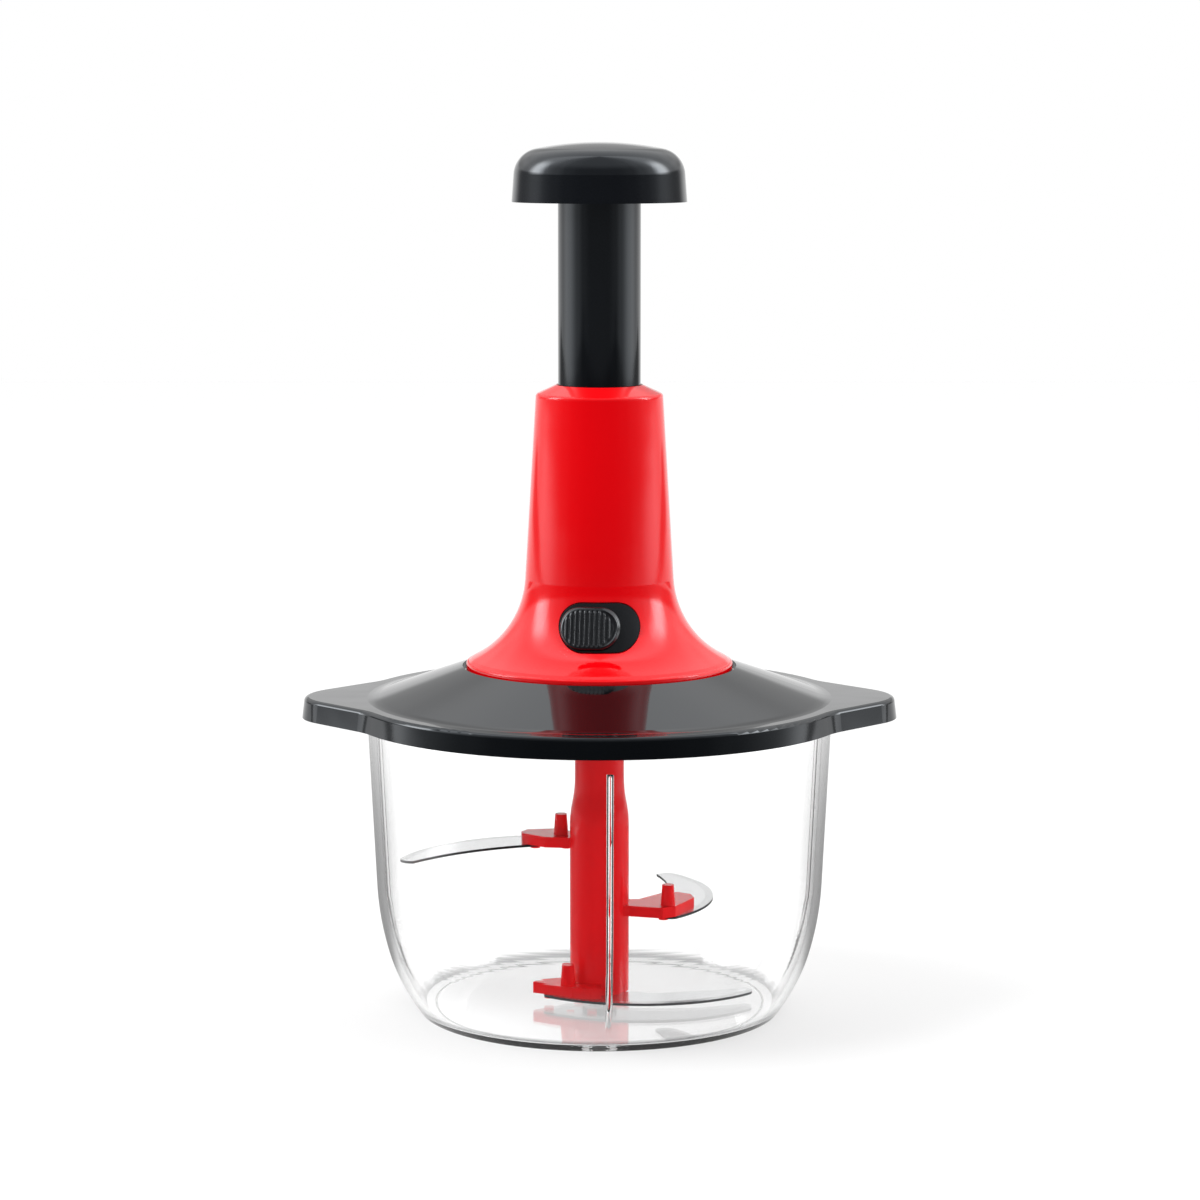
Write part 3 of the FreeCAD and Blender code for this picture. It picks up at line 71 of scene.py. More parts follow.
class Wire:
    """One output of a shader node, used in Python expressions that add Math nodes."""

    def __init__(self, graph: "Graph", socket: bpy.types.NodeSocket) -> None:
        """Hold a socket.

        Args:
            graph: The node tree that the socket is in.
            socket: The output socket.
        """
        self.graph = graph
        self.socket = socket

    @property
    def is_vector(self) -> bool:
        """True for a socket of three numbers."""
        return self.socket.type == "VECTOR"

    def _math(self, operation: str, first: Value, second: Value = 0.0,
              third: Value = 0.0) -> "Wire":
        """Add one Math or Vector Math node.

        Args:
            operation: The node's operation.
            first: Its first value.
            second: Its second value.
            third: Its third value.

        Returns:
            The node's result.
        """
        if self.is_vector:
            values = {0: first, 1: (second,) * 3 if isinstance(second, (int, float)) else second}
            return self.graph.add("ShaderNodeVectorMath", {"operation": operation}, values)
        values = {0: first, 1: second, 2: third}
        return self.graph.add("ShaderNodeMath", {"operation": operation}, values)

    def __add__(self, other: Value) -> "Wire":
        """Sum."""
        return self._math("ADD", self, other)

    def __radd__(self, other: Value) -> "Wire":
        """Sum with a plain number first."""
        return self._math("ADD", self, other)

    def __sub__(self, other: Value) -> "Wire":
        """Difference."""
        return self._math("SUBTRACT", self, other)

    def __rsub__(self, other: Value) -> "Wire":
        """Difference from a plain number."""
        return self._math("SUBTRACT", other, self)

    def __mul__(self, other: Value) -> "Wire":
        """Product."""
        return self._math("MULTIPLY", self, other)

    def __rmul__(self, other: Value) -> "Wire":
        """Product with a plain number first."""
        return self._math("MULTIPLY", self, other)

    def __truediv__(self, other: Value) -> "Wire":
        """Quotient."""
        return self._math("DIVIDE", self, other)

    def __pow__(self, other: Value) -> "Wire":
        """Power."""
        return self._math("POWER", self, other)

    def abs(self) -> "Wire":
        """Size without sign."""
        return self._math("ABSOLUTE", self)

    def sqrt(self) -> "Wire":
        """Square root."""
        return self._math("SQRT", self)

    def atan2(self, other: Value) -> "Wire":
        """Angle of the point (other, self), in radians."""
        return self._math("ARCTAN2", self, other)

    def least(self, other: Value) -> "Wire":
        """The smaller of two values."""
        return self._math("MINIMUM", self, other)

    def ramp(self, low: float, high: float, start: float = 0.0, end: float = 1.0) -> "Wire":
        """Go smoothly from one value to another.

        Args:
            low: Where the change starts.
            high: Where it ends.
            start: The value up to low.
            end: The value from high on.

        Returns:
            The mapped value.
        """
        settings = {"interpolation_type": "SMOOTHSTEP", "clamp": True}
        values = {"Value": self, "From Min": low, "From Max": high, "To Min": start, "To Max": end}
        return self.graph.add("ShaderNodeMapRange", settings, values)


class Graph:
    """A node tree that finishes are written in."""

    def __init__(self, tree: bpy.types.NodeTree) -> None:
        """Empty a node tree and keep it.

        Args:
            tree: The tree of a material or of the world.
        """
        self.tree = tree
        tree.nodes.clear()

    def add(self, kind: str, settings: dict[str, object] | None = None,
            values: dict[Union[str, int], object] | None = None,
            output: Union[str, int] = 0) -> Wire:
        """Add one node.

        Args:
            kind: The node's type.
            settings: Its settings, set before its sockets.
            values: Plain values or wires for its input sockets, by name or number.
            output: The output to hand back.

        Returns:
            The output as a wire.
        """
        node = self.tree.nodes.new(kind)
        for name, setting in (settings or {}).items():
            if name == "stops":
                self._set_stops(node, setting)
            else:
                setattr(node, name, setting)
        for name, value in (values or {}).items():
            socket = node.inputs[name]
            if isinstance(value, Wire):
                self.tree.links.new(value.socket, socket)
            elif socket.type == "RGBA" and len(value) == 3:
                socket.default_value = (*value, 1.0)
            else:
                socket.default_value = value
        return Wire(self, node.outputs[output]) if len(node.outputs) else Wire(self, None)

    @staticmethod
    def _set_stops(node: bpy.types.Node, stops: Sequence[tuple[float, Colour]]) -> None:
        """Give a colour ramp its stops.

        Args:
            node: The ramp.
            stops: Pairs of place and colour, from low to high.
        """
        elements = node.color_ramp.elements
        while len(elements) < len(stops):
            elements.new(1.0)
        for element, (place, colour) in zip(elements, stops):
            element.position = place
            element.color = (*colour, 1.0)

    def blend(self, factor: Value, first: object, second: object) -> Wire:
        """Mix two colours.

        Args:
            factor: 0 for the first colour, 1 for the second.
            first: A colour or a wire.
            second: A colour or a wire.

        Returns:
            The mixed colour.
        """
        settings = {"data_type": "RGBA", "clamp_factor": True}
        return self.add("ShaderNodeMix", settings, {0: factor, 6: first, 7: second}, output=2)

    def object_point(self) -> Wire:
        """The shaded point in the piece's own coordinates, in metres."""
        return self.add("ShaderNodeTexCoord", output="Object")

    def ray_depths(self) -> tuple[Wire, Wire, Wire]:
        """Three masks of the ray's past: 1 after any matt bounce, after any mirrored one and after
        any pass through clear plastic."""
        path = self.add("ShaderNodeLightPath").socket.node.outputs
        names = ("Diffuse Depth", "Glossy Depth", "Transmission Depth")
        return tuple(Wire(self, path[name]).least(1.0) for name in names)

    def axes(self, point: Wire) -> tuple[Wire, Wire, Wire]:
        """The three numbers of a point."""
        first = self.add("ShaderNodeSeparateXYZ", values={0: point})
        outputs = first.socket.node.outputs
        return tuple(Wire(self, outputs[index]) for index in range(3))

    def stretched(self, point: Wire, scale: Point) -> Wire:
        """A point with its axes scaled."""
        settings = {"operation": "MULTIPLY"}
        return self.add("ShaderNodeVectorMath", settings, {0: point, 1: scale})

    def noise(self, point: Wire, scale: float, detail: float = 2.0, roughness: float = 0.5) -> Wire:
        """Smooth noise from 0 to 1.

        Args:
            point: Where it is read.
            scale: Waves in a metre.
            detail: Octaves.
            roughness: Strength of the finer octaves.

        Returns:
            The noise value.
        """
        values = {"Vector": point, "Scale": scale, "Detail": detail, "Roughness": roughness}
        return self.add("ShaderNodeTexNoise", {"noise_dimensions": "3D"}, values)

    def bump(self, height: Wire, distance: float, strength: float = 1.0) -> Wire:
        """A normal from a height.

        Args:
            height: The height, from 0 to 1.
            distance: How far a height of 1 stands out, in metres.
            strength: The share of the effect.

        Returns:
            The normal.
        """
        values = {"Strength": strength, "Distance": distance, "Height": height}
        return self.add("ShaderNodeBump", values=values)

    def finish_with(self, shader: Wire) -> None:
        """Wire a shader to the material's output."""
        self.add("ShaderNodeOutputMaterial", values={"Surface": shader})


def new_material(name: str) -> tuple[bpy.types.Material, Graph]:
    """Make an empty node material.

    Args:
        name: The material's name.

    Returns:
        The material and its graph.
    """
    material = bpy.data.materials.new(name)
    material.use_nodes = True
    return material, Graph(material.node_tree)


# ---------------------------------------------------------------- finishes

@dataclass(frozen=True)
class GlossMoulding:
    """Opaque gloss plastic: faint flow in the colour, fine scuffs, dust and a mould's waves."""

    name: str
    colour: Colour
    deep_colour: Colour
    roughness: float = 0.10
    shine_tint: Colour = (1.0, 1.0, 1.0)
    index: float = 1.5
    scuff: float = 0.10
    wave_depth: float = 0.00004

    def make(self) -> bpy.types.Material:
        """Build the material."""
        material, graph = new_material(self.name)
        point = graph.object_point()
        flow = graph.noise(graph.stretched(point, (1.0, 1.0, 0.35)), 38.0, 3.0)
        speck = graph.noise(point, 2600.0, 2.0)
        scuffs = graph.noise(graph.stretched(point, (1.0, 1.0, 6.0)), 900.0, 4.0, 0.65)
        colour = graph.blend(flow.ramp(0.3, 0.7, 0.0, 0.55), self.colour, self.deep_colour)
        worn = scuffs.ramp(0.58, 0.74) * graph.noise(point, 30.0).ramp(0.45, 0.65)
        roughness = self.roughness + worn * self.scuff + speck.ramp(0.66, 0.8) * 0.05
        waves = graph.noise(point, 55.0, 1.0) + speck * 0.012 + scuffs * 0.02
        shader = graph.add("ShaderNodeBsdfPrincipled", values={
            "Base Color": colour, "Roughness": roughness, "IOR": self.index,
            "Specular Tint": (*self.shine_tint, 1.0), "Normal": graph.bump(waves, self.wave_depth),
        })
        graph.finish_with(shader)
        return material


@dataclass(frozen=True)
class ClearMoulding:
    """Clear moulded plastic with a polished, very slightly wavy skin. Painted shade greys it at its
    grazing edges and in its foot, and lamps shine through it as if it weren't bent."""

    name: str
    colour: Colour = (1.0, 1.0, 1.0)
    roughness: float = 0.0
    index: float = 1.49
    # Painted shade: the grey mixed in at grazing edges and in the foot.
    edge_shade_colour: Colour = (0.12, 0.125, 0.13)
    edge_start: float = 0.70
    edge_slopes: tuple[float, float] = (0.35, 0.75)
    foot_height: float = 3.4 * MM
    foot_fade: float = 1.5 * MM
    # Painted shade: how grey the steep faces of the foot are.
    foot_shade: float = 0.55
    foot_slopes: tuple[float, float] = (0.86, 0.97)
    shadow_colour: Colour = (0.98, 0.985, 0.99)
    wave_depth: float = 0.000002

    def make(self) -> bpy.types.Material:
        """Build the material."""
        material, graph = new_material(self.name)
        point = graph.object_point()
        waves = graph.noise(graph.stretched(point, (1.0, 1.0, 0.5)), 45.0, 1.0)
        grazing = graph.add("ShaderNodeLayerWeight", values={"Blend": 0.5}, output="Facing")
        _, _, lift = graph.axes(graph.add("ShaderNodeNewGeometry", output="Normal"))
        # Painted shade: steep walls turn grey where they are seen at a grazing angle.
        edge = grazing.ramp(self.edge_start, 1.0) * lift.abs().ramp(*self.edge_slopes, 1.0, 0.0)
        _, _, height = graph.axes(point)
        foot_end = self.foot_height + self.foot_fade
        # Painted shade: the steep faces low in the foot are greyed.
        foot = height.ramp(self.foot_height, foot_end, self.foot_shade, 0.0)
        foot = foot * lift.abs().ramp(*self.foot_slopes, 1.0, 0.0)
        colour = graph.blend(edge + foot * (1 - edge), self.colour, self.edge_shade_colour)
        glass = graph.add("ShaderNodeBsdfPrincipled", values={
            "Base Color": colour, "Roughness": self.roughness, "IOR": self.index,
            "Transmission Weight": 1.0, "Normal": graph.bump(waves, self.wave_depth),
        })
        through = graph.add("ShaderNodeBsdfTransparent", values={"Color": self.shadow_colour})
        path = graph.add("ShaderNodeLightPath", output="Is Shadow Ray")
        graph.finish_with(graph.add("ShaderNodeMixShader", values={0: path, 1: glass, 2: through}))
        return material


class Grain(Enum):
    """Which way the marks run on bare metal."""

    TURNED = "rings about the vertical axis"
    DRAWN = "fine marks with no direction"


@dataclass(frozen=True)
class BareMetal:
    """Steel with the marks of the way it was made."""

    name: str
    colour: Colour
    roughness: float
    grain: Grain
    mark_depth: float = 0.000006

    def make(self) -> bpy.types.Material:
        """Build the material."""
        material, graph = new_material(self.name)
        point = graph.object_point()
        if self.grain is Grain.TURNED:
            marks = graph.noise(graph.stretched(point, (300.0, 300.0, 5200.0)), 1.0, 3.0, 0.6)
        else:
            marks = graph.noise(point, 1800.0, 3.0, 0.6)
        tone = graph.noise(point, 90.0, 2.0)
        dark = tuple(channel * 0.82 for channel in self.colour)
        colour = graph.blend(tone.ramp(0.35, 0.7) * 0.6 + marks * 0.2, self.colour, dark)
        roughness = self.roughness + (marks - 0.5) * 0.14 + tone * 0.05
        shader = graph.add("ShaderNodeBsdfPrincipled", values={
            "Base Color": colour, "Metallic": 1.0, "Roughness": roughness,
            "Normal": graph.bump(marks, self.mark_depth),
        })
        graph.finish_with(shader)
        return material


@dataclass(frozen=True)
class BladeSheet:
    """Stainless sheet, brushed along the blade, with a ground bevel along its curved edge and
    painted shade on its upright cut sides.
    """

    name: str
    centre: tuple[float, float]
    colour: Colour = (0.66, 0.665, 0.67)
    edge_radius: float = 0.054
    bevel_width: float = 0.0030
    bevel_depth: float = 0.0002
    stroke_scales: tuple[float, float] = (3400.0, 4.0)
    grinding_scales: tuple[float, float] = (150.0, 260.0)
    # Painted shade: near black for the sheet's cut sides.
    side_shade_colour: Colour = (0.05, 0.05, 0.055)
    roughness: float = 0.16

    def make(self) -> bpy.types.Material:
        """Build the material."""
        material, graph = new_material(self.name)
        point = graph.object_point()
        across, along, _ = graph.axes(point)
        x = across - self.centre[0]
        y = along - self.centre[1]
        radius = (x * x + y * y).sqrt()
        turn = y.atan2(x)
        start = self.edge_radius - self.bevel_width
        bevel = radius.ramp(start, self.edge_radius - 0.9 * self.bevel_width)
        outward, round_arc = self.stroke_scales
        along_arc = {0: radius * outward, 1: turn * round_arc, 2: 0.0}
        strokes = graph.noise(graph.add("ShaderNodeCombineXYZ", values=along_arc), 1.0, 3.0, 0.6)
        outward, round_arc = self.grinding_scales
        across_arc = {0: radius * outward, 1: turn * round_arc, 2: 0.0}
        grinding = graph.noise(graph.add("ShaderNodeCombineXYZ", values=across_arc), 1.0, 3.0, 0.7)
        marks = strokes * (1 - bevel) + grinding * bevel
        slope = radius.ramp(start, self.edge_radius + self.bevel_width, 1.0, 0.0)
        dull = tuple(channel * 0.8 for channel in self.colour)
        # Painted shade: faces that stand upright, the sheet's cut sides, take the dark side colour.
        _, _, lift = graph.axes(graph.add("ShaderNodeNewGeometry", output="True Normal"))
        flat = graph.blend(bevel * 0.35 + marks * 0.25, self.colour, dull)
        colour = graph.blend(lift.abs().ramp(0.3, 0.8), self.side_shade_colour, flat)
        height = slope * (2.0 * self.bevel_depth / 0.001) + marks * 0.006
        shader = graph.add("ShaderNodeBsdfPrincipled", values={
            "Base Color": colour, "Metallic": 1.0,
            "Roughness": self.roughness + bevel * 0.1 + (marks - 0.5) * 0.12,
            "Normal": graph.bump(height, 0.001),
        })
        graph.finish_with(shader)
        return material


@dataclass(frozen=True)
class SoftMoulding:
    """Satin acetal or silicone: pale, a little light inside, with a fine even grain."""

    name: str
    colour: Colour
    shade: Colour
    roughness: float
    inner_light: float
    grain_depth: float = 0.00001

    def make(self) -> bpy.types.Material:
        """Build the material."""
        material, graph = new_material(self.name)
        point = graph.object_point()
        cloud = graph.noise(point, 140.0, 3.0)
        grain = graph.noise(point, 3200.0, 2.0)
        colour = graph.blend(cloud.ramp(0.35, 0.7), self.colour, self.shade)
        shader = graph.add("ShaderNodeBsdfPrincipled", values={
            "Base Color": colour, "Roughness": self.roughness + (grain - 0.5) * 0.1,
            "Subsurface Weight": self.inner_light, "Subsurface Scale": 0.002,
            "Normal": graph.bump(grain, self.grain_depth),
        })
        graph.finish_with(shader)
        return material


COOL_SHINE: Colour = (0.86, 0.93, 1.0)
RED_PLASTIC = GlossMoulding(
    "red_plastic", (0.77, 0.0012, 0.0040), (0.72, 0.0009, 0.0030), 0.06, (1.0, 0.68, 0.74))
# Painted light: the red plastic made brighter for the carrier, standing in for the light that the
# lid keeps off inside the bowl.
CARRIER_LIT_RED = GlossMoulding(
    "carrier_red_painted_light", (0.97, 0.0040, 0.0080), (0.91, 0.0030, 0.0065), 0.14, (1.0, 0.50, 0.55),
    1.32)
BLACK_PLASTIC = GlossMoulding(
    "black_plastic", (0.0024, 0.0030, 0.0040), (0.0019, 0.0024, 0.0033), 0.06, COOL_SHINE)
# Painted shade: the black plastic made darker for the lid, so that its dome looks darker.
LID_SHADED_BLACK = GlossMoulding(
    "lid_black_painted_shade", (0.0020, 0.0026, 0.0034), (0.0016, 0.0021, 0.0028), 0.045, COOL_SHINE)
# Painted light: the black plastic made lighter for the cap, standing in for more light on its
# front.
CAP_LIT_BLACK = GlossMoulding(
    "cap_black_painted_light", (0.0052, 0.0060, 0.0078), (0.0042, 0.0050, 0.0066), 0.08, COOL_SHINE)
SWITCH_PLASTIC = GlossMoulding(
    "switch_plastic", (0.0058, 0.0064, 0.0078), (0.0046, 0.0052, 0.0064), 0.20, (0.90, 0.95, 1.0))
CLEAR_PLASTIC = ClearMoulding("clear_plastic")
TOP_BLADE = BladeSheet("top_blade_steel", (-0.0155, -0.0305))
MIDDLE_BLADE = BladeSheet("middle_blade_steel", (-0.0130, 0.0305))
BOTTOM_BLADE = BladeSheet("bottom_blade_steel", (0.0150, 0.0319))
PIN_STEEL = BareMetal("pin_steel", (0.66, 0.665, 0.67), 0.22, Grain.TURNED)
SPRING_STEEL = BareMetal("spring_steel", (0.48, 0.49, 0.50), 0.28, Grain.DRAWN)
SCREW_STEEL = BareMetal("screw_steel", (0.60, 0.61, 0.63), 0.25, Grain.TURNED)
SEAL_RUBBER = SoftMoulding("seal_rubber", (0.80, 0.80, 0.80), (0.74, 0.74, 0.75), 0.45, 0.3)
WHITE_PLASTIC = SoftMoulding("white_plastic", (0.84, 0.84, 0.82), (0.79, 0.79, 0.76), 0.38, 0.2)

Finish = Union[GlossMoulding, ClearMoulding, BareMetal, BladeSheet, SoftMoulding]


class Finishes:
    """The finish of every node, each material made once."""

    BY_NODE: dict[str, Finish] = {
        "bowl": CLEAR_PLASTIC,
        "bowl_pivot_pin": PIN_STEEL,
        "lid": LID_SHADED_BLACK,
        "lid_seal": SEAL_RUBBER,
        "tower": RED_PLASTIC,
        "tower_screws": SCREW_STEEL,
        "lock_bezel": SWITCH_PLASTIC,
        "lock_slider": SWITCH_PLASTIC,
        "clutch_housing": WHITE_PLASTIC,
        "housing_screws": SCREW_STEEL,
        "spindle_bush": WHITE_PLASTIC,
        "return_spring": SPRING_STEEL,
        "spring_washer": SPRING_STEEL,
        "plunger_tube": BLACK_PLASTIC,
        "plunger_cap": CAP_LIT_BLACK,
        "cap_screws": SCREW_STEEL,
        "drive_nut": WHITE_PLASTIC,
        "drive_rod": PIN_STEEL,
        "clutch_driver": WHITE_PLASTIC,
        "clutch_driven": WHITE_PLASTIC,
        "output_spindle": PIN_STEEL,
        "spindle_clip": SPRING_STEEL,
        "blade_carrier": CARRIER_LIT_RED,
        "blade_top": TOP_BLADE,
        "blade_middle": MIDDLE_BLADE,
        "blade_bottom": BOTTOM_BLADE,
    }

    def __init__(self) -> None:
        """Start with no material made."""
        self._made: dict[str, bpy.types.Material] = {}

    def get(self, finish: Finish) -> bpy.types.Material:
        """The material of a finish, made the first time it is asked for."""
        if finish.name not in self._made:
            self._made[finish.name] = finish.make()
        return self._made[finish.name]

    def dress(self, piece: bpy.types.Object, finish: Finish) -> None:
        """Give a whole piece one finish.

        Args:
            piece: The piece.
            finish: Its finish.
        """
        material = self.get(finish)
        if not piece.material_slots:
            piece.data.materials.append(material)
        for place in piece.material_slots:
            place.material = material

    def dress_nodes(self, nodes: dict[str, bpy.types.Object]) -> None:
        """Give every carried-over node its finish.

        Args:
            nodes: The frame's nodes by name.
        """
        for name, node in nodes.items():
            self.dress(node, self.BY_NODE[name])
            LOG.info("%s: %s", name, self.BY_NODE[name].name)


# ---------------------------------------------------------------- meshes

def new_piece(name: str, points: Iterable[Point], faces: Iterable[Sequence[int]],
              smooth: bool = True) -> bpy.types.Object:
    """Make a mesh object from points and faces.

    Args:
        name: The piece's name.
        points: Its corners, in metres.
        faces: Corner numbers of each face.
        smooth: True to shade it smooth.

    Returns:
        The linked object.
    """
    mesh = bpy.data.meshes.new(name)
    mesh.from_pydata([tuple(point) for point in points], [], [tuple(face) for face in faces])
    mesh.validate()
    for polygon in mesh.polygons:
        polygon.use_smooth = smooth
    piece = bpy.data.objects.new(name, mesh)
    bpy.context.scene.collection.objects.link(piece)
    return piece


def smooth_step(value: float, low: float, high: float) -> float:
    """0 below low, 1 above high and a smooth change between."""
    share = min(max((value - low) / (high - low), 0.0), 1.0)
    return share * share * (3.0 - 2.0 * share)


def arc(centre: tuple[float, float], radius: float, start_deg: float, end_deg: float,
        steps: int) -> list[tuple[float, float]]:
    """Points of an arc of a turned profile, both ends included.

    Args:
        centre: The arc's centre, as radius and level.
        radius: Its radius.
        start_deg: Angle of its first point, from outward towards up.
        end_deg: Angle of its last point.
        steps: Runs along it.

    Returns:
        Points as radius and level.
    """
    angles = [math.radians(start_deg + (end_deg - start_deg) * step / steps)
              for step in range(steps + 1)]
    return [(centre[0] + radius * math.cos(a), centre[1] + radius * math.sin(a)) for a in angles]


def eased(corners: Sequence[tuple[float, float, float]],
          steps: int = 5) -> list[tuple[float, float]]:
    """Round the corners of an open profile.

    Args:
        corners: Radius, level and corner rounding of each point. A rounding of 0 keeps the point.
        steps: Runs along each rounding.

    Returns:
        The profile's points, as radius and level.
    """
    profile: list[tuple[float, float]] = []
    for index, (x, z, rounding) in enumerate(corners):
        if rounding == 0.0 or index in (0, len(corners) - 1):
            profile.append((x, z))
            continue
        here = Vector((x, z))
        back = (Vector(corners[index - 1][:2]) - here).normalized()
        ahead = (Vector(corners[index + 1][:2]) - here).normalized()
        half = math.acos(max(-1.0, min(1.0, back.dot(ahead)))) / 2
        reach = rounding / math.tan(half)
        centre = here + (back + ahead).normalized() * (rounding / math.sin(half))
        first = here + back * reach - centre
        last = here + ahead * reach - centre
        sweep = math.pi - 2 * half
        for step in range(steps + 1):
            turn = sweep * step / steps
            spoke = (first * math.sin(sweep - turn) + last * math.sin(turn)) / math.sin(sweep)
            profile.append(tuple(centre + spoke))
    return profile


def guarded(points: Sequence[tuple[float, float]],
            gap: float = 0.15 * MM) -> list[tuple[float, float]]:
    """Add points just inside the ends of a section's long straight runs, so that smooth shading
    leaves them flat.

    Args:
        points: The section's points.
        gap: How far inside an end the added point lies.

    Returns:
        The section with the added points.
    """
    result = [points[0]]
    for (x, z), (next_x, next_z) in zip(points, points[1:]):
        run = math.hypot(next_x - x, next_z - z)
        if run > 8 * gap:
            for share in (gap / run, 1.0 - gap / run):
                result.append((x + (next_x - x) * share, z + (next_z - z) * share))
        result.append((next_x, next_z))
    return result


def turned(name: str, profile: Sequence[tuple[float, float]], angles: Sequence[float],
           shift: Callable[[int, float], float] | None = None) -> bpy.types.Object:
    """Turn an open profile, which starts and ends on the axis, about the vertical axis.

    Args:
        name: The piece's name.
        profile: Points as radius and level, in metres, from the bottom round to the top.
        angles: Azimuths of the columns, in radians.
        shift: What is added to the radius of profile point number n at an azimuth.

    Returns:
        The closed piece.
    """
    rings = profile[1:-1]
    points: list[Point] = [(0.0, 0.0, profile[0][1]), (0.0, 0.0, profile[-1][1])]
    for angle in angles:
        for number, (radius, level) in enumerate(rings, start=1):
            across = radius + (shift(number, angle) if shift else 0.0)
            points.append((across * math.cos(angle), across * math.sin(angle), level))
    tall = len(rings)
    faces: list[tuple[int, ...]] = []
    for column in range(len(angles)):
        here = 2 + column * tall
        after = 2 + (column + 1) % len(angles) * tall
        faces.append((0, after, here))
        faces.append((1, here + tall - 1, after + tall - 1))
        faces.extend((here + row, after + row, after + row + 1, here + row + 1)
                     for row in range(tall - 1))
    return new_piece(name, points, faces)


# ---------------------------------------------------------------- bowl

@dataclass
class Bowl:
    """The clear bowl: a turned shell on a ring foot, with half-round ribs up its inner wall."""

    height: float = 107.5 * MM
    rim_radius: float = 80.6 * MM
    wall: float = 2.6 * MM
    draft_deg: float = 2.7
    shoulder_level: float = 45.0 * MM
    shoulder_radius: float = 100.0 * MM
    lower_turn_deg: float = 16.5
    belly_radius: float = 66.0 * MM
    floor: float = 2.8 * MM
    foot_width: float = 5.0 * MM
    foot_recess: float = 0.8 * MM
    bead: tuple[float, float] = (1.6 * MM, 3.4 * MM)
    boss_radius: float = 6.0 * MM
    boss_top: float = 5.0 * MM
    pin_radius: float = 2.5 * MM
    pin_seat: float = 1.4 * MM
    rib_azimuths_deg: tuple[float, ...] = (2.6, 92.6, 182.6, 272.6)
    rib_half_width: float = 1.05 * MM
    rib_depth: float = 1.5 * MM
    rib_levels: tuple[float, float, float] = (8.0 * MM, 34.0 * MM, 97.0 * MM)

    def _profile(self) -> list[tuple[float, float]]:
        """The bowl's section, from the middle of its underside round to the pin's seat."""
        draft = math.radians(self.draft_deg)
        turn = math.radians(self.lower_turn_deg)
        shoulder_x = self.rim_radius - (self.height - self.shoulder_level) * math.tan(draft)
        shoulder = (shoulder_x - self.shoulder_radius * math.cos(draft),
                    self.shoulder_level + self.shoulder_radius * math.sin(draft))
        belly_x = shoulder[0] + self.shoulder_radius * math.cos(turn)
        belly_z = shoulder[1] - self.shoulder_radius * math.sin(turn)
        belly = (belly_x - self.belly_radius * math.cos(turn),
                 belly_z + self.belly_radius * math.sin(turn))
        inner_belly = self.belly_radius - self.wall
        foot_turn = math.degrees(math.asin(belly[1] / self.belly_radius))
        floor_turn = math.degrees(math.asin((belly[1] - self.floor) / inner_belly))
        foot_x = belly[0] + self.belly_radius * math.cos(math.radians(foot_turn))
        edge = 0.5 * MM
        foot = foot_x - self.foot_width
        outer = arc(belly, self.belly_radius, 1.2 - foot_turn, -self.lower_turn_deg, 24)
        outer += arc(shoulder, self.shoulder_radius, -self.lower_turn_deg, -self.draft_deg, 16)[1:]
        inner = arc(shoulder, self.shoulder_radius - self.wall,
                    -self.draft_deg, -self.lower_turn_deg, 30)
        inner += arc(belly, inner_belly, -self.lower_turn_deg, 2.0 - floor_turn, 60)[1:]
        rim_in = self.rim_radius - self.wall
        wide, deep = self.bead
        start = inner[0]
        rib_top = self.rib_levels[2]
        levels = [self.height + (start[1] - self.height) * step / 40 for step in range(1, 40)]
        levels = [level for level in levels if abs(level - rib_top + 0.8 * MM) > 1.4 * MM]
        levels += [rib_top - 0.15 * MM * step for step in range(-1, 13)]
        slant = (start[0] - rim_in) / (start[1] - self.height)
        straight = [(rim_in + (level - self.height) * slant, level, 0.0)
                    for level in sorted(levels, reverse=True)]
        corners = [(0.0, self.foot_recess, 0.0), (foot, self.foot_recess, edge), (foot, 0.0, edge),
                   (foot_x, 0.0, 1.0 * MM)]
        corners += [(*point, 0.0) for point in outer]
        corners += [(self.rim_radius, self.height - deep, 0.3 * MM),
                    (self.rim_radius + wide, self.height - deep, edge),
                    (self.rim_radius + wide, self.height, edge), (rim_in, self.height, edge)]
        corners += straight
        corners += [(*point, 0.0) for point in inner]
        floor_x = belly[0] + inner_belly * math.cos(math.radians(floor_turn))
        corners += [(floor_x, self.floor, 1.0 * MM), (self.boss_radius, self.floor, 0.4 * MM),
                    (self.boss_radius, self.boss_top, edge),
                    (self.pin_radius, self.boss_top, 0.2 * MM),
                    (self.pin_radius, self.pin_seat, 0.2 * MM), (0.0, self.pin_seat, 0.0)]
        return guarded(eased(corners))

    def _columns(self) -> list[float]:
        """Azimuths of the mesh's columns, closer together at the ribs."""
        angles = {round(math.tau * step / 240, 6) for step in range(240)}
        for azimuth in self.rib_azimuths_deg:
            middle = math.radians(azimuth)
            angles = {angle for angle in angles if abs(angle - middle) > math.radians(1.3)}
            angles |= {middle + math.radians(1.2 * step / 16) for step in range(-16, 17)}
        return sorted(angles)

    def _rib(self, radius: float, level: float, angle: float) -> float:
        """How far the ribs stand in from the inner wall.

        Args:
            radius: The wall's radius there.
            level: The level.
            angle: The azimuth, in radians.

        Returns:
            The rib's depth, or 0 beside the ribs.
        """
        foot, full, top = self.rib_levels
        if not foot < level < top:
            return 0.0
        rise = smooth_step(level, foot, full) ** 0.6
        cap = math.sqrt(max(1.0 - max(level - top + 1.6 * MM, 0.0) ** 2 / (1.6 * MM) ** 2, 0.0))
        for azimuth in self.rib_azimuths_deg:
            beside = abs(angle - math.radians(azimuth)) * radius
            if beside < self.rib_half_width:
                share = beside / self.rib_half_width
                return self.rib_depth * rise * cap * math.sqrt(1.0 - share * share)
        return 0.0

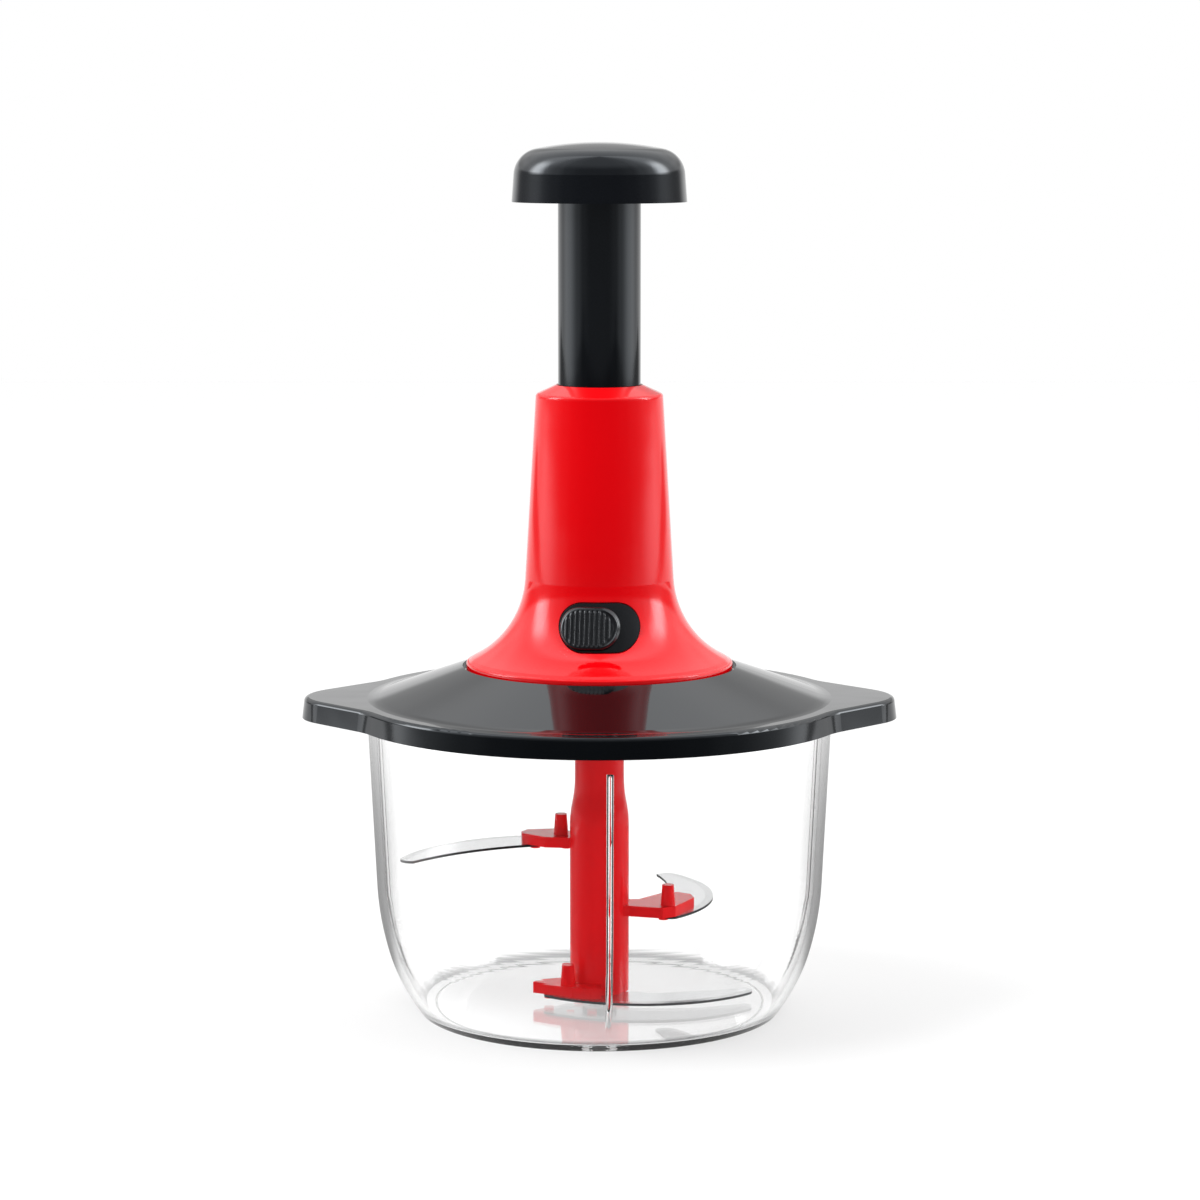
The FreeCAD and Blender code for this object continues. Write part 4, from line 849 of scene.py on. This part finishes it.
    def build(self, finishes: Finishes) -> bpy.types.Object:
        """Make the bowl.

        Args:
            finishes: The finishes to dress it with.

        Returns:
            The piece.
        """
        profile = [(x, z) for x, z in self._profile()]
        top = max(range(len(profile)), key=lambda number: profile[number][1])

        def shift(number: int, angle: float) -> float:
            """Move the inner wall in at a rib."""
            radius, level = profile[number]
            inside = number > top and radius > self.rim_radius / 2
            return -self._rib(radius, level, angle) if inside else 0.0

        piece = turned("clear_bowl", profile, self._columns(), shift)
        finishes.dress(piece, CLEAR_PLASTIC)
        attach(piece, "bowl")
        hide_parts("bowl")
        return piece


# ---------------------------------------------------------------- lock switch

@dataclass
class LockSlider:
    """The lock's thumb slider: a rounded racetrack plate with upright ribs, a raised lip round
    its free end and a stem through the bezel's slot. It leans and curves with the tower."""

    width: float = 20.6 * MM
    height: float = 14.0 * MM
    back_radius: float = 30.7 * MM
    thickness: float = 1.8 * MM
    level: float = 138.417 * MM
    lean_deg: float = 19.0
    azimuth_deg: float = -5.9
    edge_round: float = 1.1 * MM
    rib_pitch: float = 1.62 * MM
    rib_height: float = 0.55 * MM
    rib_margin: float = 0.9 * MM
    lip_height: float = 0.45 * MM
    lip_place: float = 0.95 * MM
    lip_width: float = 0.55 * MM
    stem_half: tuple[float, float] = (1.7 * MM, 1.8 * MM)
    stem_reach: float = 15.2 * MM
    columns: int = 200
    rows: int = 60

    def _half_height(self, x: float) -> float:
        """Half the plate's height at x."""
        end = self.height / 2
        past = abs(x) - (self.width / 2 - end)
        return end if past <= 0 else math.sqrt(max(end * end - past * past, 0.0))

    def _edge_distance(self, x: float, z: float) -> float:
        """How far a point of the plate is from its outline."""
        end = self.height / 2
        past = max(abs(x) - (self.width / 2 - end), 0.0)
        return max(end - math.hypot(past, z), 0.0)

    def _relief(self, x: float, z: float) -> float:
        """The front's height over the plate's back.

        Args:
            x: Place across the plate.
            z: Place up the plate.

        Returns:
            The height with edge round, ribs and lip.
        """
        edge = self._edge_distance(x, z)
        round_off = self.edge_round
        height = self.thickness
        if edge < round_off:
            height += math.sqrt(max(round_off ** 2 - (round_off - edge) ** 2, 0.0)) - round_off
        free_end = smooth_step(x, 0.15 * self.width, 0.33 * self.width)
        start = self.rib_margin + 1.1 * MM * free_end
        inside = smooth_step(edge, start, start + 0.7 * MM)
        wave = 0.5 + 0.5 * math.cos(2 * math.pi * x / self.rib_pitch)
        height += self.rib_height * inside * (wave ** 1.4 - 0.35)
        off_lip = (edge - self.lip_place) / self.lip_width
        height += self.lip_height * free_end * math.exp(-off_lip * off_lip * 2.5)
        return height

    def _placed(self, x: float, z: float, height: float) -> Point:
        """A point of the plate, bent round the tower and turned to its rest place."""
        radius = self.back_radius - z * math.tan(math.radians(self.lean_deg)) + height
        y = -math.sqrt(radius * radius - x * x)
        turn = math.radians(self.azimuth_deg)
        return (x * math.cos(turn) - y * math.sin(turn), x * math.sin(turn) + y * math.cos(turn),
                self.level + z)

    def build(self, finishes: Finishes) -> bpy.types.Object:
        """Make the slider.

        Args:
            finishes: The finishes to dress it with.

        Returns:
            The piece.
        """
        points: list[Point] = []
        faces: list[tuple[int, ...]] = []
        wide = self.columns + 1
        tall = self.rows + 1
        for front in (True, False):
            for column in range(wide):
                share = 2.0 * column / self.columns - 1.0
                x = self.width / 2 * (0.72 * share + 0.28 * math.sin(math.pi / 2 * share))
                for row in range(tall):
                    up = math.sin(math.pi / 2 * (2.0 * row / self.rows - 1.0))
                    z = up * self._half_height(x)
                    points.append(self._placed(x, z, self._relief(x, z) if front else 0.0))
        back = wide * tall
        for column in range(self.columns):
            for row in range(self.rows):
                corner = column * tall + row
                quad = (corner, corner + tall, corner + tall + 1, corner + 1)
                faces.append(quad)
                faces.append(tuple(back + index for index in reversed(quad)))
            for row in (0, self.rows):
                corner = column * tall + row
                strip = (corner, back + corner, back + corner + tall, corner + tall)
                faces.append(strip if row == 0 else tuple(reversed(strip)))
        self._add_stem(points, faces)
        piece = new_piece("lock_slider_ribbed", points, faces)
        finishes.dress(piece, SWITCH_PLASTIC)
        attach(piece, "lock")
        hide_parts("lock_slider")
        return piece

    def _add_stem(self, points: list[Point], faces: list[tuple[int, ...]]) -> None:
        """Add the stem behind the plate.

        Args:
            points: The piece's points, added to.
            faces: The piece's faces, added to.
        """
        first = len(points)
        half_x, half_z = self.stem_half
        turn = math.radians(self.azimuth_deg)
        for y in (-self.back_radius - 0.5 * MM, -self.stem_reach):
            for x, z in ((-half_x, -half_z), (half_x, -half_z),
                         (half_x, half_z), (-half_x, half_z)):
                points.append((x * math.cos(turn) - y * math.sin(turn),
                               x * math.sin(turn) + y * math.cos(turn), self.level + z))
        for quad in ((0, 1, 2, 3), (7, 6, 5, 4), (0, 4, 5, 1),
                     (1, 5, 6, 2), (2, 6, 7, 3), (3, 7, 4, 0)):
            faces.append(tuple(first + index for index in quad))


# ---------------------------------------------------------------- return spring

@dataclass
class ReturnSpring:
    """The coil between the washer and the nut, built at one length, though the real one closes up
    as the plunger goes down.
    """

    low: float = 132.817 * MM
    high: float = 225.0 * MM
    radius: float = 8.6 * MM
    wire_radius: float = 0.6 * MM
    turns: float = 14.0
    stroke: float = 60.0 * MM
    steps_per_turn: int = 28
    sides: int = 10

    def _centre(self, step: int) -> tuple[Point, Point]:
        """A point of the wire's centre line and the way outwards there.

        Args:
            step: Its number along the coil.

        Returns:
            The point and a unit vector.
        """
        angle = 2 * math.pi * step / self.steps_per_turn
        share = step / (self.turns * self.steps_per_turn)
        free = self.high - self.low - 2 * self.wire_radius
        outward = (math.cos(angle), math.sin(angle), 0.0)
        return (self.radius * outward[0], self.radius * outward[1],
                self.low + self.wire_radius + free * share), outward

    def build(self, finishes: Finishes) -> bpy.types.Object:
        """Make the spring.

        Args:
            finishes: The finishes to dress it with.

        Returns:
            The piece.
        """
        points: list[Point] = []
        faces: list[tuple[int, ...]] = []
        last = round(self.turns * self.steps_per_turn)
        for step in range(last + 1):
            centre, outward = self._centre(step)
            for side in range(self.sides):
                angle = 2 * math.pi * side / self.sides
                out = self.wire_radius * math.cos(angle)
                points.append((centre[0] + out * outward[0], centre[1] + out * outward[1],
                               centre[2] + self.wire_radius * math.sin(angle)))
        for step in range(last):
            for side in range(self.sides):
                near = step * self.sides
                beside = (side + 1) % self.sides
                faces.append((near + side, near + self.sides + side,
                              near + self.sides + beside, near + beside))
        faces.append(tuple(range(self.sides)))
        faces.append(tuple(last * self.sides + side for side in reversed(range(self.sides))))
        piece = new_piece("return_coil", points, faces)
        finishes.dress(piece, SPRING_STEEL)
        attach(piece, "lid")
        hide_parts("return_spring")
        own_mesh(piece)
        return piece


# ---------------------------------------------------------------- stage, light and camera

@dataclass(frozen=True)
class Softbox:
    """One large lamp that points at the chopper and shows in no gloss."""

    name: str
    place: Point
    width: float
    height: float
    power: float
    aim: Point = (0.0, 0.0, 0.15)

    def build(self) -> bpy.types.Object:
        """Make the lamp."""
        lamp = bpy.data.lights.new(self.name, "AREA")
        lamp.shape = "RECTANGLE"
        lamp.size = self.width
        lamp.size_y = self.height
        lamp.energy = self.power
        item = bpy.data.objects.new(self.name, lamp)
        item.location = self.place
        way = Vector(self.aim) - Vector(self.place)
        item.rotation_euler = way.to_track_quat("-Z", "Y").to_euler()
        item.visible_glossy = False
        bpy.context.scene.collection.objects.link(item)
        return item


def angle_ramp(turn: Wire, start_deg: float, end_deg: float, before: float = 0.0,
               after: float = 1.0) -> Wire:
    """A change with the angle from the front.

    Args:
        turn: The angle, in radians.
        start_deg: Where the change begins.
        end_deg: Where it ends.
        before: The value up to its beginning.
        after: The value from its end on.

    Returns:
        The value at that angle.
    """
    return turn.ramp(math.radians(start_deg), math.radians(end_deg), before, after)


@dataclass
class Studio:
    """The floor, the room's light and the lamp. The room isn't one real light: the camera, gloss,
    matt surfaces and clear plastic each find a brightness of their own, painted by angle. Gloss
    shows a dark front, bright sides and a pale back, and the camera sees white."""

    floor_size: float = 6.0
    floor_white: float = 0.62
    floor_colour: Colour = (0.26, 0.26, 0.26)
    floor_fill: float = 0.55
    floor_through: float = 0.20
    floor_under: float = 0.02
    foot_ring: tuple[float, float] = (0.058, 0.064)
    gloss_ring: tuple[float, float] = (0.066, 0.10)
    near_ring: tuple[float, float] = (0.20, 0.90)
    near_light: float = 0.40
    far_ring: tuple[float, float] = (2.2, 2.6)
    far_loss: float = 0.75
    far_turns: tuple[float, float] = (135.0, 150.0)
    front_fill: float = 0.14
    side_fill: float = 1.75
    fill_turns: tuple[float, float] = (14.0, 76.0)
    fill_reach: float = 0.6
    left_share: float = 0.82
    right_share: float = 1.36
    room_front: float = 0.19
    room_top: float = 0.50
    room_veil: float = 0.07
    room_steps: tuple[tuple[float, float, float], ...] = (
        (24.0, 46.0, 0.14), (46.0, 62.0, 0.40), (62.0, 92.0, 1.40), (100.0, 124.0, -1.10),
    )
    glow: float = 7.0
    back_turns: tuple[float, float] = (128.0, 150.0)
    back_through: float = 0.20
    back_loss: float = 0.40
    low_loss: float = 0.74
    flank_light: float = 0.3
    softboxes: tuple[Softbox, ...] = (
        Softbox("key_softbox", (-0.56, -0.20, 1.30), 0.45, 0.45, 12.0),
    )

    def build(self) -> None:
        """Make all of it."""
        self._build_floor()
        self._build_room()
        for softbox in self.softboxes:
            softbox.build()

    def _mirrored_room(self, turn: Wire) -> Wire:
        """What gloss shows of the room.

        Args:
            turn: Angle from the front, either way, in radians.

        Returns:
            The brightness there.
        """
        light = turn * 0.0 + self.room_front
        for start, end, gain in self.room_steps:
            light = light + angle_ramp(turn, start, end, 0.0, gain)
        return light

    def _build_floor(self) -> None:
        """A floor that is white to the camera and keeps the chopper's shadow. It glows on matt
        surfaces, shows gloss a painted room, and is painted brighter where it is seen through the
        clear plastic.
        """
        half = self.floor_size / 2
        corners = [(-half, -half, 0.0), (half, -half, 0.0), (half, half, 0.0), (-half, half, 0.0)]
        floor = new_piece("floor", corners, [(0, 1, 2, 3)], smooth=False)
        material, graph = new_material("floor_white")
        scattered, mirrored, passed = graph.ray_depths()
        across, depth, _ = graph.axes(graph.object_point())
        radius = (across * across + depth * depth).sqrt()
        # Painted reflection: gloss sees the painted room in the floor, dimmed near the chopper and
        # far off at the back.
        away = mirrored * radius.ramp(*self.gloss_ring)
        turn = across.atan2(0 - depth).abs()
        room = self._mirrored_room(turn) * radius.ramp(*self.near_ring, self.near_light, 1.0)
        loss = angle_ramp(turn, *self.far_turns, self.far_loss, 0.0)
        room = room * (1 - radius.ramp(*self.far_ring) * loss)
        colour = graph.blend(away, self.floor_colour, (0.0, 0.0, 0.0))
        matt = graph.add("ShaderNodeBsdfDiffuse", values={"Color": colour})
        # Painted light: the floor seen through the clear plastic glows brighter, but hardly at all
        # inside the bowl's foot ring.
        under = radius.ramp(*self.foot_ring, self.floor_under, self.floor_through)
        seen = self.floor_white + passed * under
        strength = scattered * self.floor_fill + (1 - scattered) * (1 - away) * seen + away * room
        glow = graph.add("ShaderNodeEmission", values={"Color": WHITE, "Strength": strength})
        graph.finish_with(graph.add("ShaderNodeAddShader", values={0: matt, 1: glow}))
        floor.data.materials.append(material)

    def _gloss(self, across: Wire, depth: Wire, up: Wire, passed: Wire) -> Wire:
        """The room as gloss shows it, with bands painted bright at its sides and dim at its back.

        Args:
            across: The direction's part to the right.
            depth: Its part to the back.
            up: Its part upwards.
            passed: 1 for a ray that has been through clear plastic.

        Returns:
            The brightness there.
        """
        turn = across.atan2(0 - depth).abs()
        glow = angle_ramp(turn, 78.0, 94.0) * angle_ramp(turn, 98.0, 114.0, 1.0, 0.0)
        glow = glow * up.ramp(0.04, 0.22) * up.ramp(0.50, 0.80, 1.0, 0.0)
        low = up.ramp(-0.03, 0.0) * up.ramp(0.12, 0.22, 1.0, 0.0)
        back = angle_ramp(turn, *self.back_turns)
        dim = back * up.ramp(0.14, 0.22) * up.ramp(0.40, 0.65, self.back_loss, 0.0) * (1 - passed)
        flank = angle_ramp(turn, 96.0, 120.0) * angle_ramp(turn, 158.0, 172.0, 1.0, 0.0)
        flank = flank * up.ramp(0.22, 0.40) * up.ramp(0.50, 0.70, 1.0, 0.0)
        gloss = self._mirrored_room(turn) + glow * self.glow
        gloss = gloss * (1 - low * angle_ramp(turn, *self.back_turns, self.low_loss, 0.0))
        gloss = gloss * (1 - dim) + up.ramp(0.45, 0.80) * self.room_top
        return gloss + flank * self.flank_light + passed * back * self.back_through

    def _build_room(self) -> None:
        """The room: white to the camera, and its own brightness to gloss and to matt surfaces."""
        world = bpy.data.worlds.new("studio_room")
        bpy.context.scene.world = world
        world.use_nodes = True
        graph = Graph(world.node_tree)
        scattered, mirrored, passed = graph.ray_depths()
        across, depth, up = graph.axes(graph.add("ShaderNodeTexCoord", output="Generated"))
        gloss = self._gloss(across, depth, up, passed)
        turn = across.atan2(0 - depth).abs()
        matt = angle_ramp(turn, *self.fill_turns, self.front_fill, self.side_fill)
        reach = self.fill_reach
        matt = matt * across.ramp(-reach, reach, self.left_share, self.right_share)
        seen = (1 - mirrored) * (1 - passed * self.room_veil) + mirrored * gloss
        strength = scattered * matt + (1 - scattered) * seen
        light = graph.add("ShaderNodeBackground", values={"Color": WHITE, "Strength": strength})
        graph.add("ShaderNodeOutputWorld", values={"Surface": light})


@dataclass
class Viewpoint:
    """The camera: its distance, tilt and lens."""

    distance: float = 1.233
    tilt_deg: float = 7.7
    target: Point = (0.0002, 0.0, 0.1439)
    lens: float = 106.8

    def build(self) -> None:
        """Make the camera and use it."""
        camera = bpy.data.cameras.new("camera")
        camera.lens = self.lens
        camera.sensor_width = 36.0
        item = bpy.data.objects.new("camera", camera)
        tilt = math.radians(self.tilt_deg)
        x, y, z = self.target
        item.location = (x, y - self.distance * math.cos(tilt), z + self.distance * math.sin(tilt))
        item.rotation_euler = (math.pi / 2 - tilt, 0.0, 0.0)
        bpy.context.scene.collection.objects.link(item)
        bpy.context.scene.camera = item


# ---------------------------------------------------------------- main


def main() -> None:
    """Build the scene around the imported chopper."""
    logging.basicConfig(level=logging.INFO, format="%(message)s")
    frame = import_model()
    finishes = Finishes()
    finishes.dress_nodes(frame["nodes"])
    for assembly in (Bowl(), LockSlider(), ReturnSpring()):
        LOG.info("built %s", assembly.build(finishes).name)
    Studio().build()
    Viewpoint().build()
    settings = bpy.context.scene.view_settings
    settings.view_transform = "Standard"


if __name__ == "__main__":
    main()
